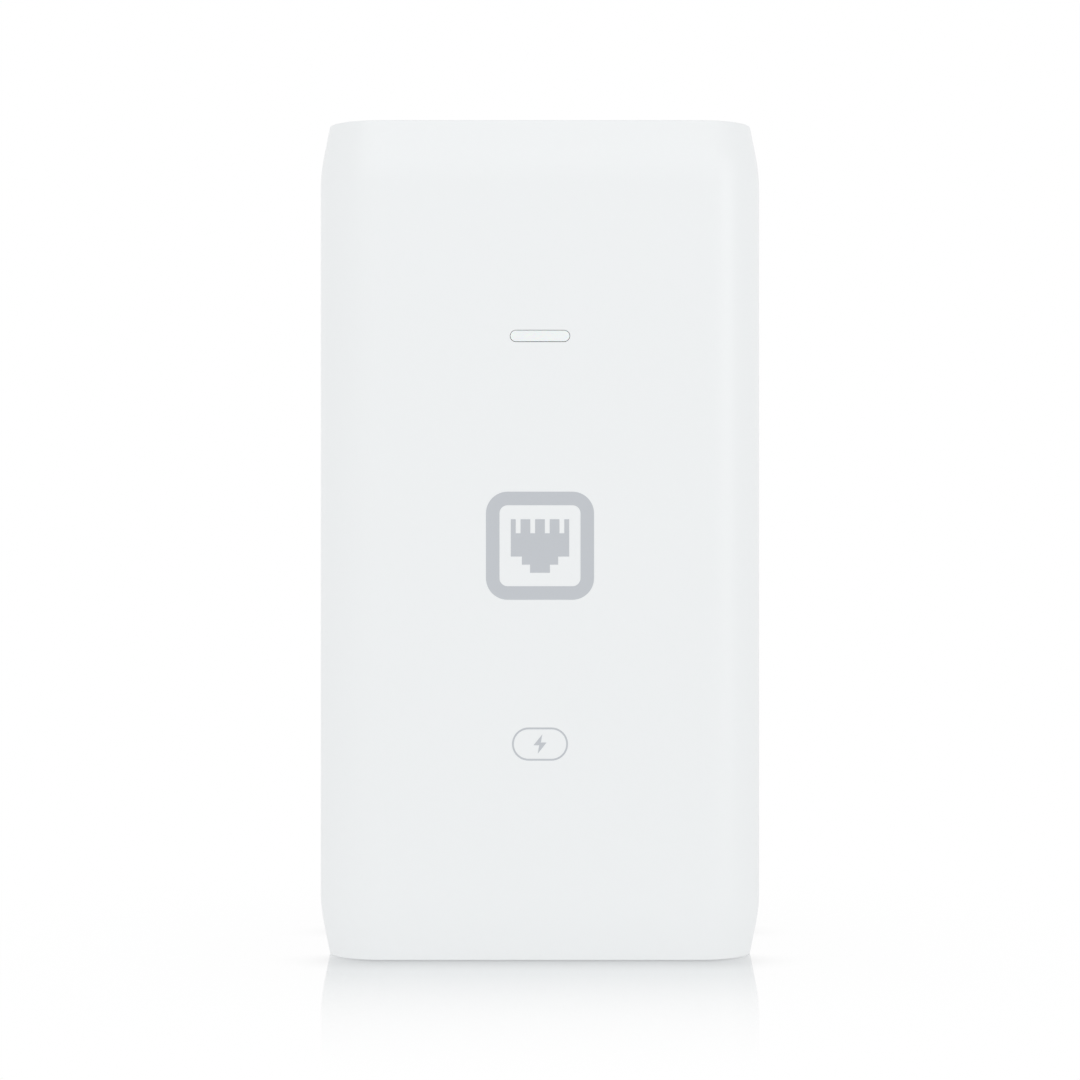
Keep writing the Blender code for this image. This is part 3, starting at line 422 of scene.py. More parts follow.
def bevel(obj, width, segments=3, angle=35, by_weight=False):
    made = obj.modifiers.new("bevel", "BEVEL")
    made.width = width * MM
    made.segments = segments
    made.limit_method = "WEIGHT" if by_weight else "ANGLE"
    made.angle_limit = math.radians(angle)


def hole(target, name, size, radius, centre, axis, inside, surface, flare=0.25):
    """Cuts a hole with round corners from the level inside to the surface, where its rim flares out."""
    width, height = size
    outward = math.copysign(1.0, surface - inside)
    wide = flare + 1.0
    straight = rounded_rectangle(width, height, radius, 8, centre)
    flared = rounded_rectangle(width + 2 * wide, height + 2 * wide, radius + wide, 8, centre)
    levels = [(inside, straight), (surface - flare * outward, straight), (surface + outward, flared)]
    cut(target, prism(name, levels, axis))


def close_slivers(mesh):
    """Merges the corners of faces that a bevel or a cut left with no width."""
    shape = bmesh.new()
    shape.from_mesh(mesh)
    bmesh.ops.remove_doubles(shape, verts=shape.verts, dist=SLIVER * MM)
    shape.to_mesh(mesh)
    shape.free()


def settle(obj):
    """Applies an object's modifiers, removes the shapes they used, and marks its creases."""
    bpy.context.view_layer.update()
    graph = bpy.context.evaluated_depsgraph_get()
    mesh = bpy.data.meshes.new_from_object(obj.evaluated_get(graph))
    tools = [step.object for step in obj.modifiers if step.type == "BOOLEAN"]
    obj.modifiers.clear()
    obj.data = mesh
    for tool in tools:
        bpy.data.objects.remove(tool)
    close_slivers(mesh)
    weigh_normals(obj, keep_sharp=True)
    mesh.set_sharp_from_angle(angle=math.radians(CREASE_ANGLE))


def weigh_normals(obj, keep_sharp=False):
    """Lets the large faces set the shading, so that flats stay flat beside small roundings."""
    obj.data.shade_smooth()
    made = obj.modifiers.new("normals", "WEIGHTED_NORMAL")
    made.weight = 75
    made.keep_sharp = keep_sharp


def curve_object(name, material, extrude=0.0, bevel_depth=0.0, flat=True):
    curve = bpy.data.curves.new(name, "CURVE")
    curve.dimensions = "2D" if flat else "3D"
    if flat:
        curve.fill_mode = "BOTH"
    curve.extrude = extrude * MM
    curve.bevel_depth = bevel_depth * MM
    curve.bevel_resolution = 4
    curve.use_fill_caps = not flat
    curve.materials.append(material)
    obj = bpy.data.objects.new(name, curve)
    bpy.context.scene.collection.objects.link(obj)
    return obj


def outline(obj, points, closed=True):
    """Adds a straight-sided outline in millimetres to a curve object."""
    spline = obj.data.splines.new("POLY")
    spline.points.add(len(points) - 1)
    for point, place in zip(spline.points, points):
        x, y, z = (*place, 0.0)[:3]
        point.co = (x * MM, y * MM, z * MM, 1.0)
    spline.use_cyclic_u = closed


def rounded_rectangle(width, height, radius, steps=12, centre=(0.0, 0.0)):
    points = []
    for quarter, (sx, sy) in enumerate(((1, 1), (-1, 1), (-1, -1), (1, -1))):
        cx = centre[0] + sx * (width / 2 - radius)
        cy = centre[1] + sy * (height / 2 - radius)
        for step in range(steps + 1):
            angle = math.radians(90 * quarter + 90 * step / steps)
            points.append((cx + radius * math.cos(angle), cy + radius * math.sin(angle)))
    return points


def bolt_outline(height):
    """A plain lightning bolt."""
    shape = ((0.12, 0.5), (-0.34, -0.06), (-0.04, -0.06), (-0.12, -0.5), (0.34, 0.08), (0.04, 0.08))
    return [(x * height, y * height) for x, y in shape]


# The shells


def lean(z):
    """How far the case's walls stand in from their widest at a height z."""
    reach = min(max(TAPER_LENGTH - min(z, HEIGHT - z), 0.0), TAPER_LENGTH)
    if reach < TAPER_BEND:
        return TAPER_SLOPE * reach**2 / (2 * TAPER_BEND)
    return TAPER_SLOPE * (reach - TAPER_BEND / 2)


def skin_facing(point):
    """How far a point in millimetres is off the case's smooth skin, and which way the skin faces there."""
    half_x, half_y = WIDTH / 2 - CORNER_RADIUS, (BACK_Y - FRONT_Y) / 2 - CORNER_RADIUS
    middle_y = (BACK_Y + FRONT_Y) / 2
    x = point.x - min(max(point.x, -half_x), half_x)
    y = point.y - middle_y
    y -= min(max(y, -half_y), half_y)
    outwards = math.hypot(x, y)
    if outwards < 0.001:
        return math.inf, Vector((0, 0, 1))
    step = 0.01
    slope = (lean(point.z + step) - lean(point.z - step)) / (2 * step)
    off = abs(outwards - (CORNER_RADIUS - lean(point.z)))
    return off, Vector((x / outwards, y / outwards, slope)).normalized()


def smooth_skin(shell):
    """Shades the outer skin as the curve it stands for, also where holes cut across its facets."""
    on_skin, along_skin = 0.03, math.radians(35)
    shell.modifiers.clear()
    mesh = shell.data
    normals = [Vector(corner.vector) for corner in mesh.corner_normals]
    for face in mesh.polygons:
        for corner in face.loop_indices:
            vertex = mesh.vertices[mesh.loops[corner].vertex_index]
            off, facing = skin_facing(vertex.co / MM)
            if off < on_skin and face.normal.angle(facing) < along_skin:
                normals[corner] = facing
    mesh.normals_split_custom_set(normals)


def spaced(start, end, step):
    count = max(1, round(abs(end - start) / step))
    return [start + (end - start) * i / count for i in range(count)]


def half_outline(inset, front):
    """One shell's half of the case's outline, from the seam on the right to the seam on the left."""
    radius = CORNER_RADIUS - inset
    half_x = WIDTH / 2 - CORNER_RADIUS
    front_y, back_y = FRONT_Y + CORNER_RADIUS, BACK_Y - CORNER_RADIUS
    seam_y = SEAM_Y + (SEAM_REACH if front else GAP - SEAM_REACH)
    seam_angle = math.asin((seam_y - back_y) / radius)
    side_x = half_x + radius
    points = []
    if front:
        for step in range(3):
            angle = seam_angle * (1 - step / 3)
            points.append((half_x + radius * math.cos(angle), back_y + radius * math.sin(angle)))
        points += [(side_x, y) for y in spaced(back_y, front_y, FLAT_STEP)]
        first, last, y = 0.0, -math.pi / 2, front_y
    else:
        first, last, y = seam_angle, math.pi / 2, back_y
    for step in range(CORNER_STEPS):
        angle = first + (last - first) * step / CORNER_STEPS
        points.append((half_x + radius * math.cos(angle), y + radius * math.sin(angle)))
    face_y = y + (-radius if front else radius)
    points += [(x, face_y) for x in spaced(half_x, 0.0, FLAT_STEP)]
    mirrored = [(-x, y) for x, y in reversed(points)]
    return points + [(0.0, face_y)] + mirrored


def shell_heights():
    straight = TAPER_LENGTH - TAPER_BEND
    taper = [0.0, straight / 2] + [straight + TAPER_BEND * i / BEND_STEPS for i in range(BEND_STEPS + 1)]
    middle = spaced(TAPER_LENGTH, HEIGHT - TAPER_LENGTH, FLAT_STEP)[1:]
    return taper + middle + [HEIGHT - z for z in reversed(taper)]


def build_shell(name, front, material):
    """One shell as quads: outer and inner skins joined along the seam and round both open ends."""
    shape = bmesh.new()
    rings = []
    for z in shell_heights():
        loop = half_outline(lean(z), front) + list(reversed(half_outline(lean(z) + WALL, front)))
        rings.append([shape.verts.new((x * MM, y * MM, z * MM)) for x, y in loop])
    count = len(rings[0])
    for below, above in zip(rings, rings[1:]):
        for i in range(count):
            after = (i + 1) % count
            shape.faces.new((below[i], below[after], above[after], above[i]))
    half = count // 2
    for ring in (rings[0], rings[-1]):
        for i in range(half - 1):
            shape.faces.new((ring[i], ring[i + 1], ring[count - 2 - i], ring[count - 1 - i]))
    bmesh.ops.recalc_face_normals(shape, faces=shape.faces)
    weights = shape.edges.layers.float.new("bevel_weight_edge")
    for edge in shape.edges:
        if edge.is_manifold and edge.calc_face_angle() > math.radians(50):
            edge[weights] = 1.0
    shell = finish_shape(shape, name, material)
    bevel(shell, 0.25, 3, by_weight=True)
    return shell


def case_outline(inset):
    """The case's whole outline seen from an end."""
    deep = BACK_Y - FRONT_Y
    centre = (0.0, (BACK_Y + FRONT_Y) / 2)
    return rounded_rectangle(WIDTH - 2 * inset, deep - 2 * inset, CORNER_RADIUS - inset, CORNER_STEPS, centre)


def add_boss(target, name, x, z, low_y, high_y, radius):
    """A round boss that ends within the thickness of the wall it stands on."""
    boss = drum(name, (x, low_y, z), (x, high_y, z), radius)
    limit = prism(f"{name}_limit", [(z + side * 8.0, case_outline(0.9)) for side in (-1, 1)])
    boolean(boss, "INTERSECT", limit)
    settle(boss)
    join(target, boss)


def add_ledges(target, low_y, high_y):
    behind, thick = PANEL_RECESS + PANEL_THICK + 0.4, 1.2
    for end, z in (("low", behind), ("high", HEIGHT - behind - thick)):
        join(target, block(f"{target.name}_ledge_{end}", (-18, low_y, z), (18, high_y, z + thick)))


def place(piece, body, slot, *nodes):
    """Hands a finished piece over: the body it moves with, its material slot, which is not used, and the
    nodes it stands for.
    """
    settle(piece)
    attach(piece, body)
    if nodes:
        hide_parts(*nodes)


def build_front_shell(looks):
    shell = build_shell("front_shell", True, looks["case"])
    hole(shell, "light_slot", SLOT_SIZE, 0.999, (0.0, LIGHT_Z), "Y", FRONT_Y + 3, FRONT_Y, 0.03)
    for i, (x, z) in enumerate([*CASE_SCREWS, *BOARD_SCREWS], 1):
        add_boss(shell, f"front_boss_{i}", x, z, FRONT_Y, SEAT_Y, BOSS_RADIUS)
        cut(shell, drum(f"front_pilot_{i}", (x, -2.0, z), (x, SEAT_Y + 2, z), PILOT_RADIUS))
    add_ledges(shell, FRONT_Y + 1.5, FRONT_Y + 5.2)
    place(shell, "casing", "white_plastic", "front_housing")
    smooth_skin(shell)


def build_rear_shell(looks):
    shell = build_shell("rear_shell", False, looks["case"])
    add_ledges(shell, BACK_Y - 5.3, BACK_Y - 1.5)
    join(shell, block("pocket_pad", (-27.5, 15.0, 10.0), (27.5, BACK_Y - 0.9, 119.0)))
    inner_x = WIDTH / 2 - WALL
    for side in (-1, 1):
        near, far = sorted((side * (inner_x - GAP - 1.0), side * (inner_x - GAP)))
        join(shell, block(f"lip_{side}", (near, SEAM_Y - 2.5, 14.0), (far, SEAM_Y + 1.3, 126.0)))
        near, far = sorted((side * (inner_x - GAP - 1.0), side * (inner_x + 0.6)))
        join(shell, block(f"lip_root_{side}", (near, SEAM_Y + 0.6, 14.5), (far, SEAM_Y + 2, 125.5)))
    for i, (x, z) in enumerate(CASE_SCREWS, 1):
        add_boss(shell, f"rear_post_{i}", x, z, BOARD_BACK_Y + GAP, BACK_Y, POST_RADIUS)
        cut(shell, drum(f"rear_hole_{i}", (x, 10.4, z), (x, BACK_Y + 2, z), CLEAR_RADIUS))
        cut(shell, drum(f"rear_sink_{i}", (x, HEAD_SINK_Y, z), (x, BACK_Y + 2, z), SINK_RADIUS, steps=48))
    cut_pocket(shell)
    place(shell, "casing", "white_plastic", "rear_cover")
    smooth_skin(shell)


def cut_pocket(shell):
    """The bracket's pocket, its undercut grooves, the notches that free the lugs, and the catch's groove."""
    high = POCKET_HIGH_Z - POCKET_LOW_Z
    centre = (0.0, (POCKET_HIGH_Z + POCKET_LOW_Z) / 2)
    hole(shell, "pocket", (2 * POCKET_HALF, high), 3.0, centre, "Y", POCKET_FLOOR_Y, BACK_Y, 0.3)
    floor_y, groove_half, out_y = POCKET_FLOOR_Y, POCKET_HALF + 1.5, BACK_Y + 2
    cut(shell, block("groove", (-groove_half, floor_y + 0.01, 23.0), (groove_half, floor_y + 1.5, 105.2)))
    for i, lug_z in enumerate(LUG_ZS, 1):
        half = groove_half - 0.02
        cut(shell, block(f"notch_{i}", (-half, floor_y + 0.02, lug_z - 17), (half, out_y, lug_z - 7)))
    cut(shell, block("catch_groove", (-3.2, floor_y - 1.0, 35.0), (3.2, floor_y + 1.0, 53.0)))


# The end panels


def build_panel(name, end, material):
    """An end panel that leans in with the walls. Its outer edge is rounded."""
    levels = [PANEL_RECESS + PANEL_THICK * i / 4 for i in range(5)]
    if end == "high":
        levels = [HEIGHT - z for z in levels]
    panel = prism(name, [(z, case_outline(lean(z) + WALL + GAP)) for z in levels], material=material)
    bevel(panel, 0.3, 3, angle=60)
    return panel


def build_panels(looks):
    top = build_panel("port_panel", "high", looks["panel"])
    high_z = HEIGHT - PANEL_RECESS
    low_y, high_y = JACK_LOW_Y - 0.7, JACK_HIGH_Y + 0.6
    for jack, x in JACKS.items():
        size = (2 * (JACK_HALF + 0.7), high_y - low_y)
        centre = (x, (low_y + high_y) / 2)
        hole(top, f"{jack}_window", size, 0.5, centre, "Z", high_z - 4, high_z, 0.12)
    place(top, "casing", "white_matte_plastic", "port_end_panel")
    low = build_panel("inlet_panel", "low", looks["panel"])
    size = (2 * (INLET_HALF + GAP), INLET_HIGH_Y - INLET_LOW_Y + 2 * GAP)
    centre = (0.0, (INLET_HIGH_Y + INLET_LOW_Y) / 2)
    hole(low, "inlet_window", size, 1.8, centre, "Z", PANEL_RECESS + 4, PANEL_RECESS, 0.12)
    place(low, "casing", "white_matte_plastic", "inlet_end_panel")


def build_light_pipe(looks):
    """The lens, a hairline clear of its slot, with its flange and stem behind."""
    size, centre = (9.84, 1.82, 0.909), (0.0, LIGHT_Z + 0.01)
    levels = [(FRONT_Y + 2.8, size), (FRONT_Y + 0.05, size), (FRONT_Y + 0.02, (9.78, 1.76, 0.879))]
    sections = [(y, rounded_rectangle(*shape, 12, centre)) for y, shape in levels]
    pipe = prism("light_pipe", sections, "Y", looks["lens"])
    join(pipe, block("pipe_flange", (-6.2, -17.7, LIGHT_Z - 2.2), (6.2, -16.5, LIGHT_Z + 2.2)))
    join(pipe, block("pipe_stem", (-3.0, -17.1, LIGHT_Z - 0.65), (3.0, 8.2, LIGHT_Z + 0.65)))
    place(pipe, "casing", "light_pipe", "status_light_pipe")


# Screws


def build_screw(name, x, z, seat_y, look):
    """A pan-head screw with a cross recess and ridges for its thread."""
    pitch = 0.9
    profile = [(0.5, SCREW_TIP_Y)]
    turns = int((seat_y - 2.5 - SCREW_TIP_Y) / pitch)
    for i in range(turns):
        y = SCREW_TIP_Y + 0.3 + pitch * i
        profile += [(1.12, y), (1.4, y + pitch * 0.45), (1.12, y + pitch * 0.9)]
    head = ((2.7, 0.0), (2.7, 0.85), (2.6, 1.15), (2.3, 1.45), (1.8, 1.66), (1.0, 1.78), (0.3, 1.8))
    profile += [(1.3, seat_y - 1.6), (1.3, seat_y), *((radius, seat_y + up) for radius, up in head)]
    screw = turned(name, profile, x, z, look)
    top = seat_y + 1.8
    for tag, half_x, half_z in (("upright", 0.35, 1.6), ("level", 1.6, 0.35)):
        low, high = (x - half_x, top - 1, z - half_z), (x + half_x, top + 1, z + half_z)
        cut(screw, block(f"{name}_{tag}", low, high))
    return screw


def build_screws(looks):
    spots = [("case_screw", i, spot, HEAD_SINK_Y + GAP) for i, spot in enumerate(CASE_SCREWS, 1)]
    spots += [("board_screw", i, spot, BOARD_BACK_Y + GAP) for i, spot in enumerate(BOARD_SCREWS, 1)]
    for kind, i, (x, z), seat_y in spots:
        screw = build_screw(f"{kind}_{i}_fine", x, z, seat_y, looks["zinc"])
        place(screw, "casing", "zinc_steel", f"{kind}_{i}")


# The wall bracket


def build_bracket(looks):
    """The sliding plate: countersunk holes, lugs, side openings, and shallow fields in its outer face."""
    low, high = (-BRACKET_HALF, BRACKET_LOW_Y, BRACKET_LOW_Z), (BRACKET_HALF, BRACKET_HIGH_Y, BRACKET_HIGH_Z)
    plate = rounded_box("bracket_plate", low, high, 2.7, "Y", looks["bracket"])
    bevel(plate, 0.3, 3, angle=60)
    half = BRACKET_HALF + 1.2
    for i, z in enumerate(LUG_ZS, 1):
        low, high = (-half, BRACKET_LOW_Y, z - 4.5), (half, BRACKET_LOW_Y + 0.9, z + 4.5)
        join(plate, rounded_box(f"lug_{i}", low, high, 0.8, "Y"))
    outer_y = BRACKET_HIGH_Y
    for i, z in enumerate(WALL_HOLE_ZS, 1):
        hole(plate, f"wall_hole_{i}", (4.4, 4.4), 2.199, (0, z), "Y", 15.0, outer_y, 0.3)
        sink = []
        for y, radius in ((17.0, 4.7), (19.5, 2.0)):
            sink.append((y, rounded_rectangle(2 * radius, 2 * radius, radius - 0.001, 10, (0, z))))
        cut(plate, prism(f"countersink_{i}", sink, "Y"))
    field_y = outer_y - 0.7
    hole(plate, "tongue_window", (13.2, 28.8), 0.8, (0, 60.6), "Y", 15.0, outer_y, 0.25)
    for side in (-1, 1):
        x = side * 14.75
        hole(plate, f"opening_{side}", (6.5, 49.0), 2.0, (x, 70.5), "Y", 15.0, outer_y, 0.3)
        for tag, z in (("low", 35.6), ("high", 105.4)):
            hole(plate, f"field_{tag}_{side}", (12.6, 14.4), 1.6, (x, z), "Y", field_y, outer_y, 0.2)
    hole(plate, "arrow_field", (15.0, 19.0), 1.6, (0, 87.5), "Y", field_y, outer_y, 0.2)
    arrow = [(-3.6, 84.6), (0.0, 80.6), (3.6, 84.6), (3.6, 87.0), (1.2, 84.5), (1.2, 94.2), (-1.2, 94.2),
             (-1.2, 84.5), (-3.6, 87.0)]
    raised = prism("bracket_arrow", [(outer_y - 1.0, arrow), (outer_y - 0.35, arrow)], "Y")
    join(plate, raised)
    place(plate, "wall_bracket", "white_matte_plastic", "wall_bracket")


def build_latch(looks):
    """The springy tongue, with its catch nose inside and finger ridges outside."""
    tongue = rounded_box("latch_tongue", (-5.9, 17.9, 47.4), (5.9, 19.2, 74.7), 0.7, "Y", looks["bracket"])
    bevel(tongue, 0.2, 3, angle=60)
    half, nose = 2.5, []
    for y, low, high in ((16.5, 49.9, 51.5), (18.2, 49.0, 51.6)):
        nose.append((y, [(-half, low), (half, low), (half, high), (-half, high)]))
    join(tongue, prism("catch_nose", nose, "Y"))
    for i in range(4):
        z = 49.3 + 1.7 * i
        join(tongue, drum(f"ridge_{i}", (-4.6, 19.0, z), (4.6, 19.0, z), 0.5, steps=20))
    place(tongue, "bracket_latch", "white_matte_plastic", "bracket_latch")


def finish_cad_nodes(looks):
    """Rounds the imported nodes' edges, smooths their shading and gives each its material."""
    plans = (
        ("board", 0.05, "power_board"),
        ("sheet", 0.0, "insulation_sheet"),
        ("pad", 0.3, "thermal_pad"),
        ("aluminium", 0.1, "heat_spreader primary_heatsink secondary_heatsink"),
        ("brown", 0.0, "live_wire"),
        ("blue", 0.0, "neutral_wire"),
        ("green", 0.0, "earth_wire"),
        ("pin", 0.2, "fuse"),
        ("blue_disc", 0.8, "varistor"),
        ("green_disc", 0.8, "thermistor"),
        ("blue_disc", 0.6, "y_capacitor"),
        ("yellow_film", 0.3, "x_capacitor"),
        ("ferrite", 0.4, "choke_core"),
        ("ferrite", 0.3, "transformer_core output_inductor"),
        ("copper", 0.4, "choke_winding_left choke_winding_right"),
        ("copper", 0.2, "inductor_winding"),
        ("tape", 0.3, "transformer_winding"),
        ("grey", 0.15, "transformer_bobbin"),
        ("sleeve", 0.0, "bulk_capacitor output_capacitor_1 output_capacitor_2"),
        ("chip", 0.25, "poe_magnetics lan_magnetics"),
        ("chip", 0.2, "bridge_rectifier optocoupler"),
        ("chip", 0.15, "power_transistor output_diode"),
        ("chip", 0.12, "power_control_chip power_port_chip"),
        ("zinc", 0.12, "transistor_screw diode_screw"),
        ("led", 0.1, "status_led"),
    )
    jobs = [(node, look, width) for look, width, nodes in plans for node in nodes.split()]
    for node, look, width in jobs:
        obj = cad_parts[node]
        obj.data.materials.clear()
        obj.data.materials.append(looks[look])
        if "custom_normal" in obj.data.attributes:
            obj.data.attributes.remove(obj.data.attributes["custom_normal"])
        weld = obj.modifiers.new("weld", "WELD")
        weld.merge_threshold = 0.000005
        flats = obj.modifiers.new("flats", "DECIMATE")
        flats.decimate_type = "DISSOLVE"
        flats.angle_limit = math.radians(0.5)
        if width:
            bevel(obj, width, 3)
            slivers = obj.modifiers.new("slivers", "WELD")
            slivers.merge_threshold = SLIVER * MM
        weigh_normals(obj)


# Printed marks


def print_mark(name, outlines, place, facing, material):
    """A flat print a hair proud of the face it is on. facing is front, top or bottom."""
    turns = {"front": (math.pi / 2, 0.0, 0.0), "top": (0.0, 0.0, 0.0), "bottom": (math.pi, 0.0, 0.0)}
    mark = curve_object(name, material, extrude=PRINT_THICK / 2)
    for points in outlines:
        outline(mark, points)
    mark.rotation_euler = turns[facing]
    mark.location = Vector(place) * MM
    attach(mark, "casing")


def jack_symbol(size):
    """A network jack seen face on: the port's stepped outline and its contacts in a round-cornered frame."""
    frame_line = size * 0.125
    outer = rounded_rectangle(size, size, size * 0.2)
    inner_size = size - 2 * frame_line
    inner = rounded_rectangle(inner_size, inner_size, size * 0.2 - frame_line)
    half, top, shoulder, step, base = (size * k for k in (0.27, 0.245, -0.1, -0.175, -0.25))
    tooth, gap_depth = size * 0.045, size * 0.13
    port = [(-half, shoulder), (-half, top)]
    for i in range(4):
        middle = -half + (i + 0.5) * half / 2
        port += [
            (middle - tooth / 2, top), (middle - tooth / 2, top - gap_depth),
            (middle + tooth / 2, top - gap_depth), (middle + tooth / 2, top),
        ]
    port += [
        (half, top), (half, shoulder), (half * 0.62, shoulder), (half * 0.62, step), (half * 0.34, step),
        (half * 0.34, base), (-half * 0.34, base), (-half * 0.34, step), (-half * 0.62, step),
        (-half * 0.62, shoulder),
    ]
    return [outer, inner, port]


def network_outlines(size):
    """Three small boxes joined by lines: one above two."""
    half, line = size * 0.17, size * 0.045
    boxes = [(0.0, size * 0.33), (-size * 0.33, -size * 0.33), (size * 0.33, -size * 0.33)]
    shapes = [rounded_rectangle(2 * half, 2 * half, half * 0.3, 4, centre) for centre in boxes]
    low, high, reach = -size * 0.33 + half + 0.02, size * 0.33 - half - 0.02, size * 0.33
    shapes.append([
        (-line, high), (-line, line), (-reach - line, line), (-reach - line, low), (-reach + line, low),
        (-reach + line, -line), (reach - line, -line), (reach - line, low), (reach + line, low),
        (reach + line, line), (line, line), (line, high),
    ])
    return shapes


def wave_outline(length, line):
    """One period of a wave, the usual mark for alternating current."""
    steps = 24
    centres = []
    for i in range(steps + 1):
        part = i / steps
        centres.append(((part - 0.5) * length, 0.22 * length * math.sin(2 * math.pi * part)))
    upper = [(x, y + line / 2) for x, y in centres]
    lower = [(x, y - line / 2) for x, y in reversed(centres)]
    return upper + lower


def build_prints(looks):
    face_y = FRONT_Y - PRINT_THICK / 2
    print_mark("front_emblem", jack_symbol(EMBLEM_SIZE), (0, face_y, EMBLEM_Z), "front", looks["print"])
    pill = [rounded_rectangle(9.3, 5.5, 2.74), rounded_rectangle(8.7, 4.9, 2.44)]
    print_mark("front_pill", [*pill, bolt_outline(3.2)], (0, face_y, PILL_Z), "front", looks["print"])
    top_z = HEIGHT - PANEL_RECESS + PRINT_THICK / 2
    print_mark("poe_port_mark", [bolt_outline(5.2)], (JACKS["poe"], -9.6, top_z), "top", looks["print"])
    print_mark("lan_port_mark", network_outlines(5.2), (JACKS["lan"], -9.6, top_z), "top", looks["print"])
    low_z = PANEL_RECESS - PRINT_THICK / 2
    print_mark("inlet_mark", [wave_outline(6.4, 0.55)], (0, 13.2, low_z), "bottom", looks["print"])


# Jacks and inlet


def contact_places(x):
    """Where a jack's eight wires lie across it."""
    return [x + (i - 3.5) * CONTACT_PITCH for i in range(8)]


def build_jack_housing(name, x, look):
    """The black moulding: a stepped port, a cross slot for the contacts' bar and a channel for each wire."""
    low, high = (x - JACK_HALF, JACK_LOW_Y, JACK_LOW_Z), (x + JACK_HALF, JACK_HIGH_Y, JACK_HIGH_Z)
    housing = rounded_box(f"{name}_moulding", low, high, 0.4, "Z", look)
    bevel(housing, 0.15, 2, angle=60)
    floor_z, middle_y = JACK_HIGH_Z - PORT_DEEP, (PORT_LOW_Y + PORT_HIGH_Y) / 2
    size = (2 * PORT_HALF, PORT_HIGH_Y - PORT_LOW_Y)
    hole(housing, f"{name}_port", size, 0.25, (x, middle_y), "Z", floor_z, JACK_HIGH_Z, 0.3)
    for tag, half, low_y in (("wide", 3.3, PORT_LOW_Y - 1.4), ("narrow", 2.0, PORT_LOW_Y - 2.5)):
        size, middle = (2 * half, PORT_LOW_Y + 0.5 - low_y), (x, (low_y + PORT_LOW_Y + 0.5) / 2)
        hole(housing, f"{name}_keyway_{tag}", size, 0.2, middle, "Z", floor_z + 0.3, JACK_HIGH_Z, 0.2)
    near_y, back_y = PORT_HIGH_Y - 0.5, JACK_HIGH_Y - 0.5
    low, high = (x - 4.5, near_y, PIVOT_Z - 0.8), (x + 4.5, back_y, PIVOT_Z + 0.9)
    cut(housing, block(f"{name}_cross_slot", low, high))
    for across in contact_places(x):
        low, high = (across - 0.34, near_y, PIVOT_Z - 10), (across + 0.34, back_y, PIVOT_Z)
        cut(housing, block(f"{name}_channel", low, high))
    place(housing, "casing", "black_plastic", f"{name}_jack_housing")


def build_shield(name, x, look):
    """The folded sheet round a jack, with earthing springs along both sides of the port."""
    half, low_y, high_z = JACK_HALF + 0.4, JACK_LOW_Y - 0.4, JACK_HIGH_Z + 0.4
    sheet = rounded_box(
        f"{name}_shield", (x - half, low_y, JACK_LOW_Z - 0.4), (x + half, SEAT_Y, high_z), 0.5, "Z", look
    )
    bevel(sheet, 0.3, 3, angle=60)
    inner = half - 0.25
    cut(sheet, rounded_box(
        f"{name}_shield_inside",
        (x - inner, low_y + 0.25, JACK_LOW_Z - 0.15), (x + inner, SEAT_Y + 1, high_z - 0.25), 0.3, "Z",
    ))
    size = (2 * PORT_HALF + 0.6, PORT_HIGH_Y - PORT_LOW_Y + 0.6)
    centre = (x, (PORT_LOW_Y + PORT_HIGH_Y) / 2)
    hole(sheet, f"{name}_shield_window", size, 0.3, centre, "Z", high_z - 1, high_z, 0.05)
    centre = (x, PORT_LOW_Y - 0.9)
    hole(sheet, f"{name}_shield_keyway", (7.2, 2.8), 0.3, centre, "Z", high_z - 1, high_z, 0.05)
    for side in (-1, 1):
        edge = x + side * (PORT_HALF + 0.42)
        rows = ((0.0, 0.18), (0.5, -0.02), (1.6, -0.42), (2.8, -0.55), (4.2, -0.38), (5.2, -0.2))
        levels = []
        for down, out in rows:
            a, b = edge + side * (out - 0.09), edge + side * (out + 0.09)
            levels.append((high_z - 0.06 - down, [(a, 2.3), (b, 2.3), (b, 5.7), (a, 5.7)]))
        join(sheet, prism(f"{name}_spring_{side}", levels))
    place(sheet, "casing", "nickel_steel", f"{name}_jack_shield")


def build_contact_wires(name, x, look):
    """Eight round spring wires, each bent round the bar they turn on."""
    slope = math.radians(19)
    wires = curve_object(f"{name}_contact_wires", look, bevel_depth=0.17, flat=False)
    down = Vector((0.0, -math.sin(slope), -math.cos(slope)))
    out = Vector((0.0, math.cos(slope), -math.sin(slope)))
    straight = ((1.2, -0.42), (4.0, -0.3), (7.4, -0.12), (8.4, 0.0), (8.9, 0.25))
    for across in contact_places(x):
        pivot = Vector((across, PIVOT_Y, PIVOT_Z))
        points = []
        for step in range(9):
            turn = math.radians(-60 + 170 * step / 8)
            points.append(pivot + 0.5 * (math.cos(turn) * -down + math.sin(turn) * -out))
        points += [pivot + along * down + aside * out for along, aside in straight]
        outline(wires, points, closed=False)
    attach(wires, f"{name}_contacts")
    bar = drum(f"{name}_contact_bar", (x - 4.08, PIVOT_Y, PIVOT_Z), (x + 4.08, PIVOT_Y, PIVOT_Z), 0.36, look)
    bevel(bar, 0.08, 2)
    place(bar, f"{name}_contacts", "gold")
    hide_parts(f"{name}_jack_contacts")


def build_jacks(looks):
    for jack, x in JACKS.items():
        build_jack_housing(jack, x, looks["black"])
        build_shield(jack, x, looks["nickel"])
        build_contact_wires(jack, x, looks["gold"])


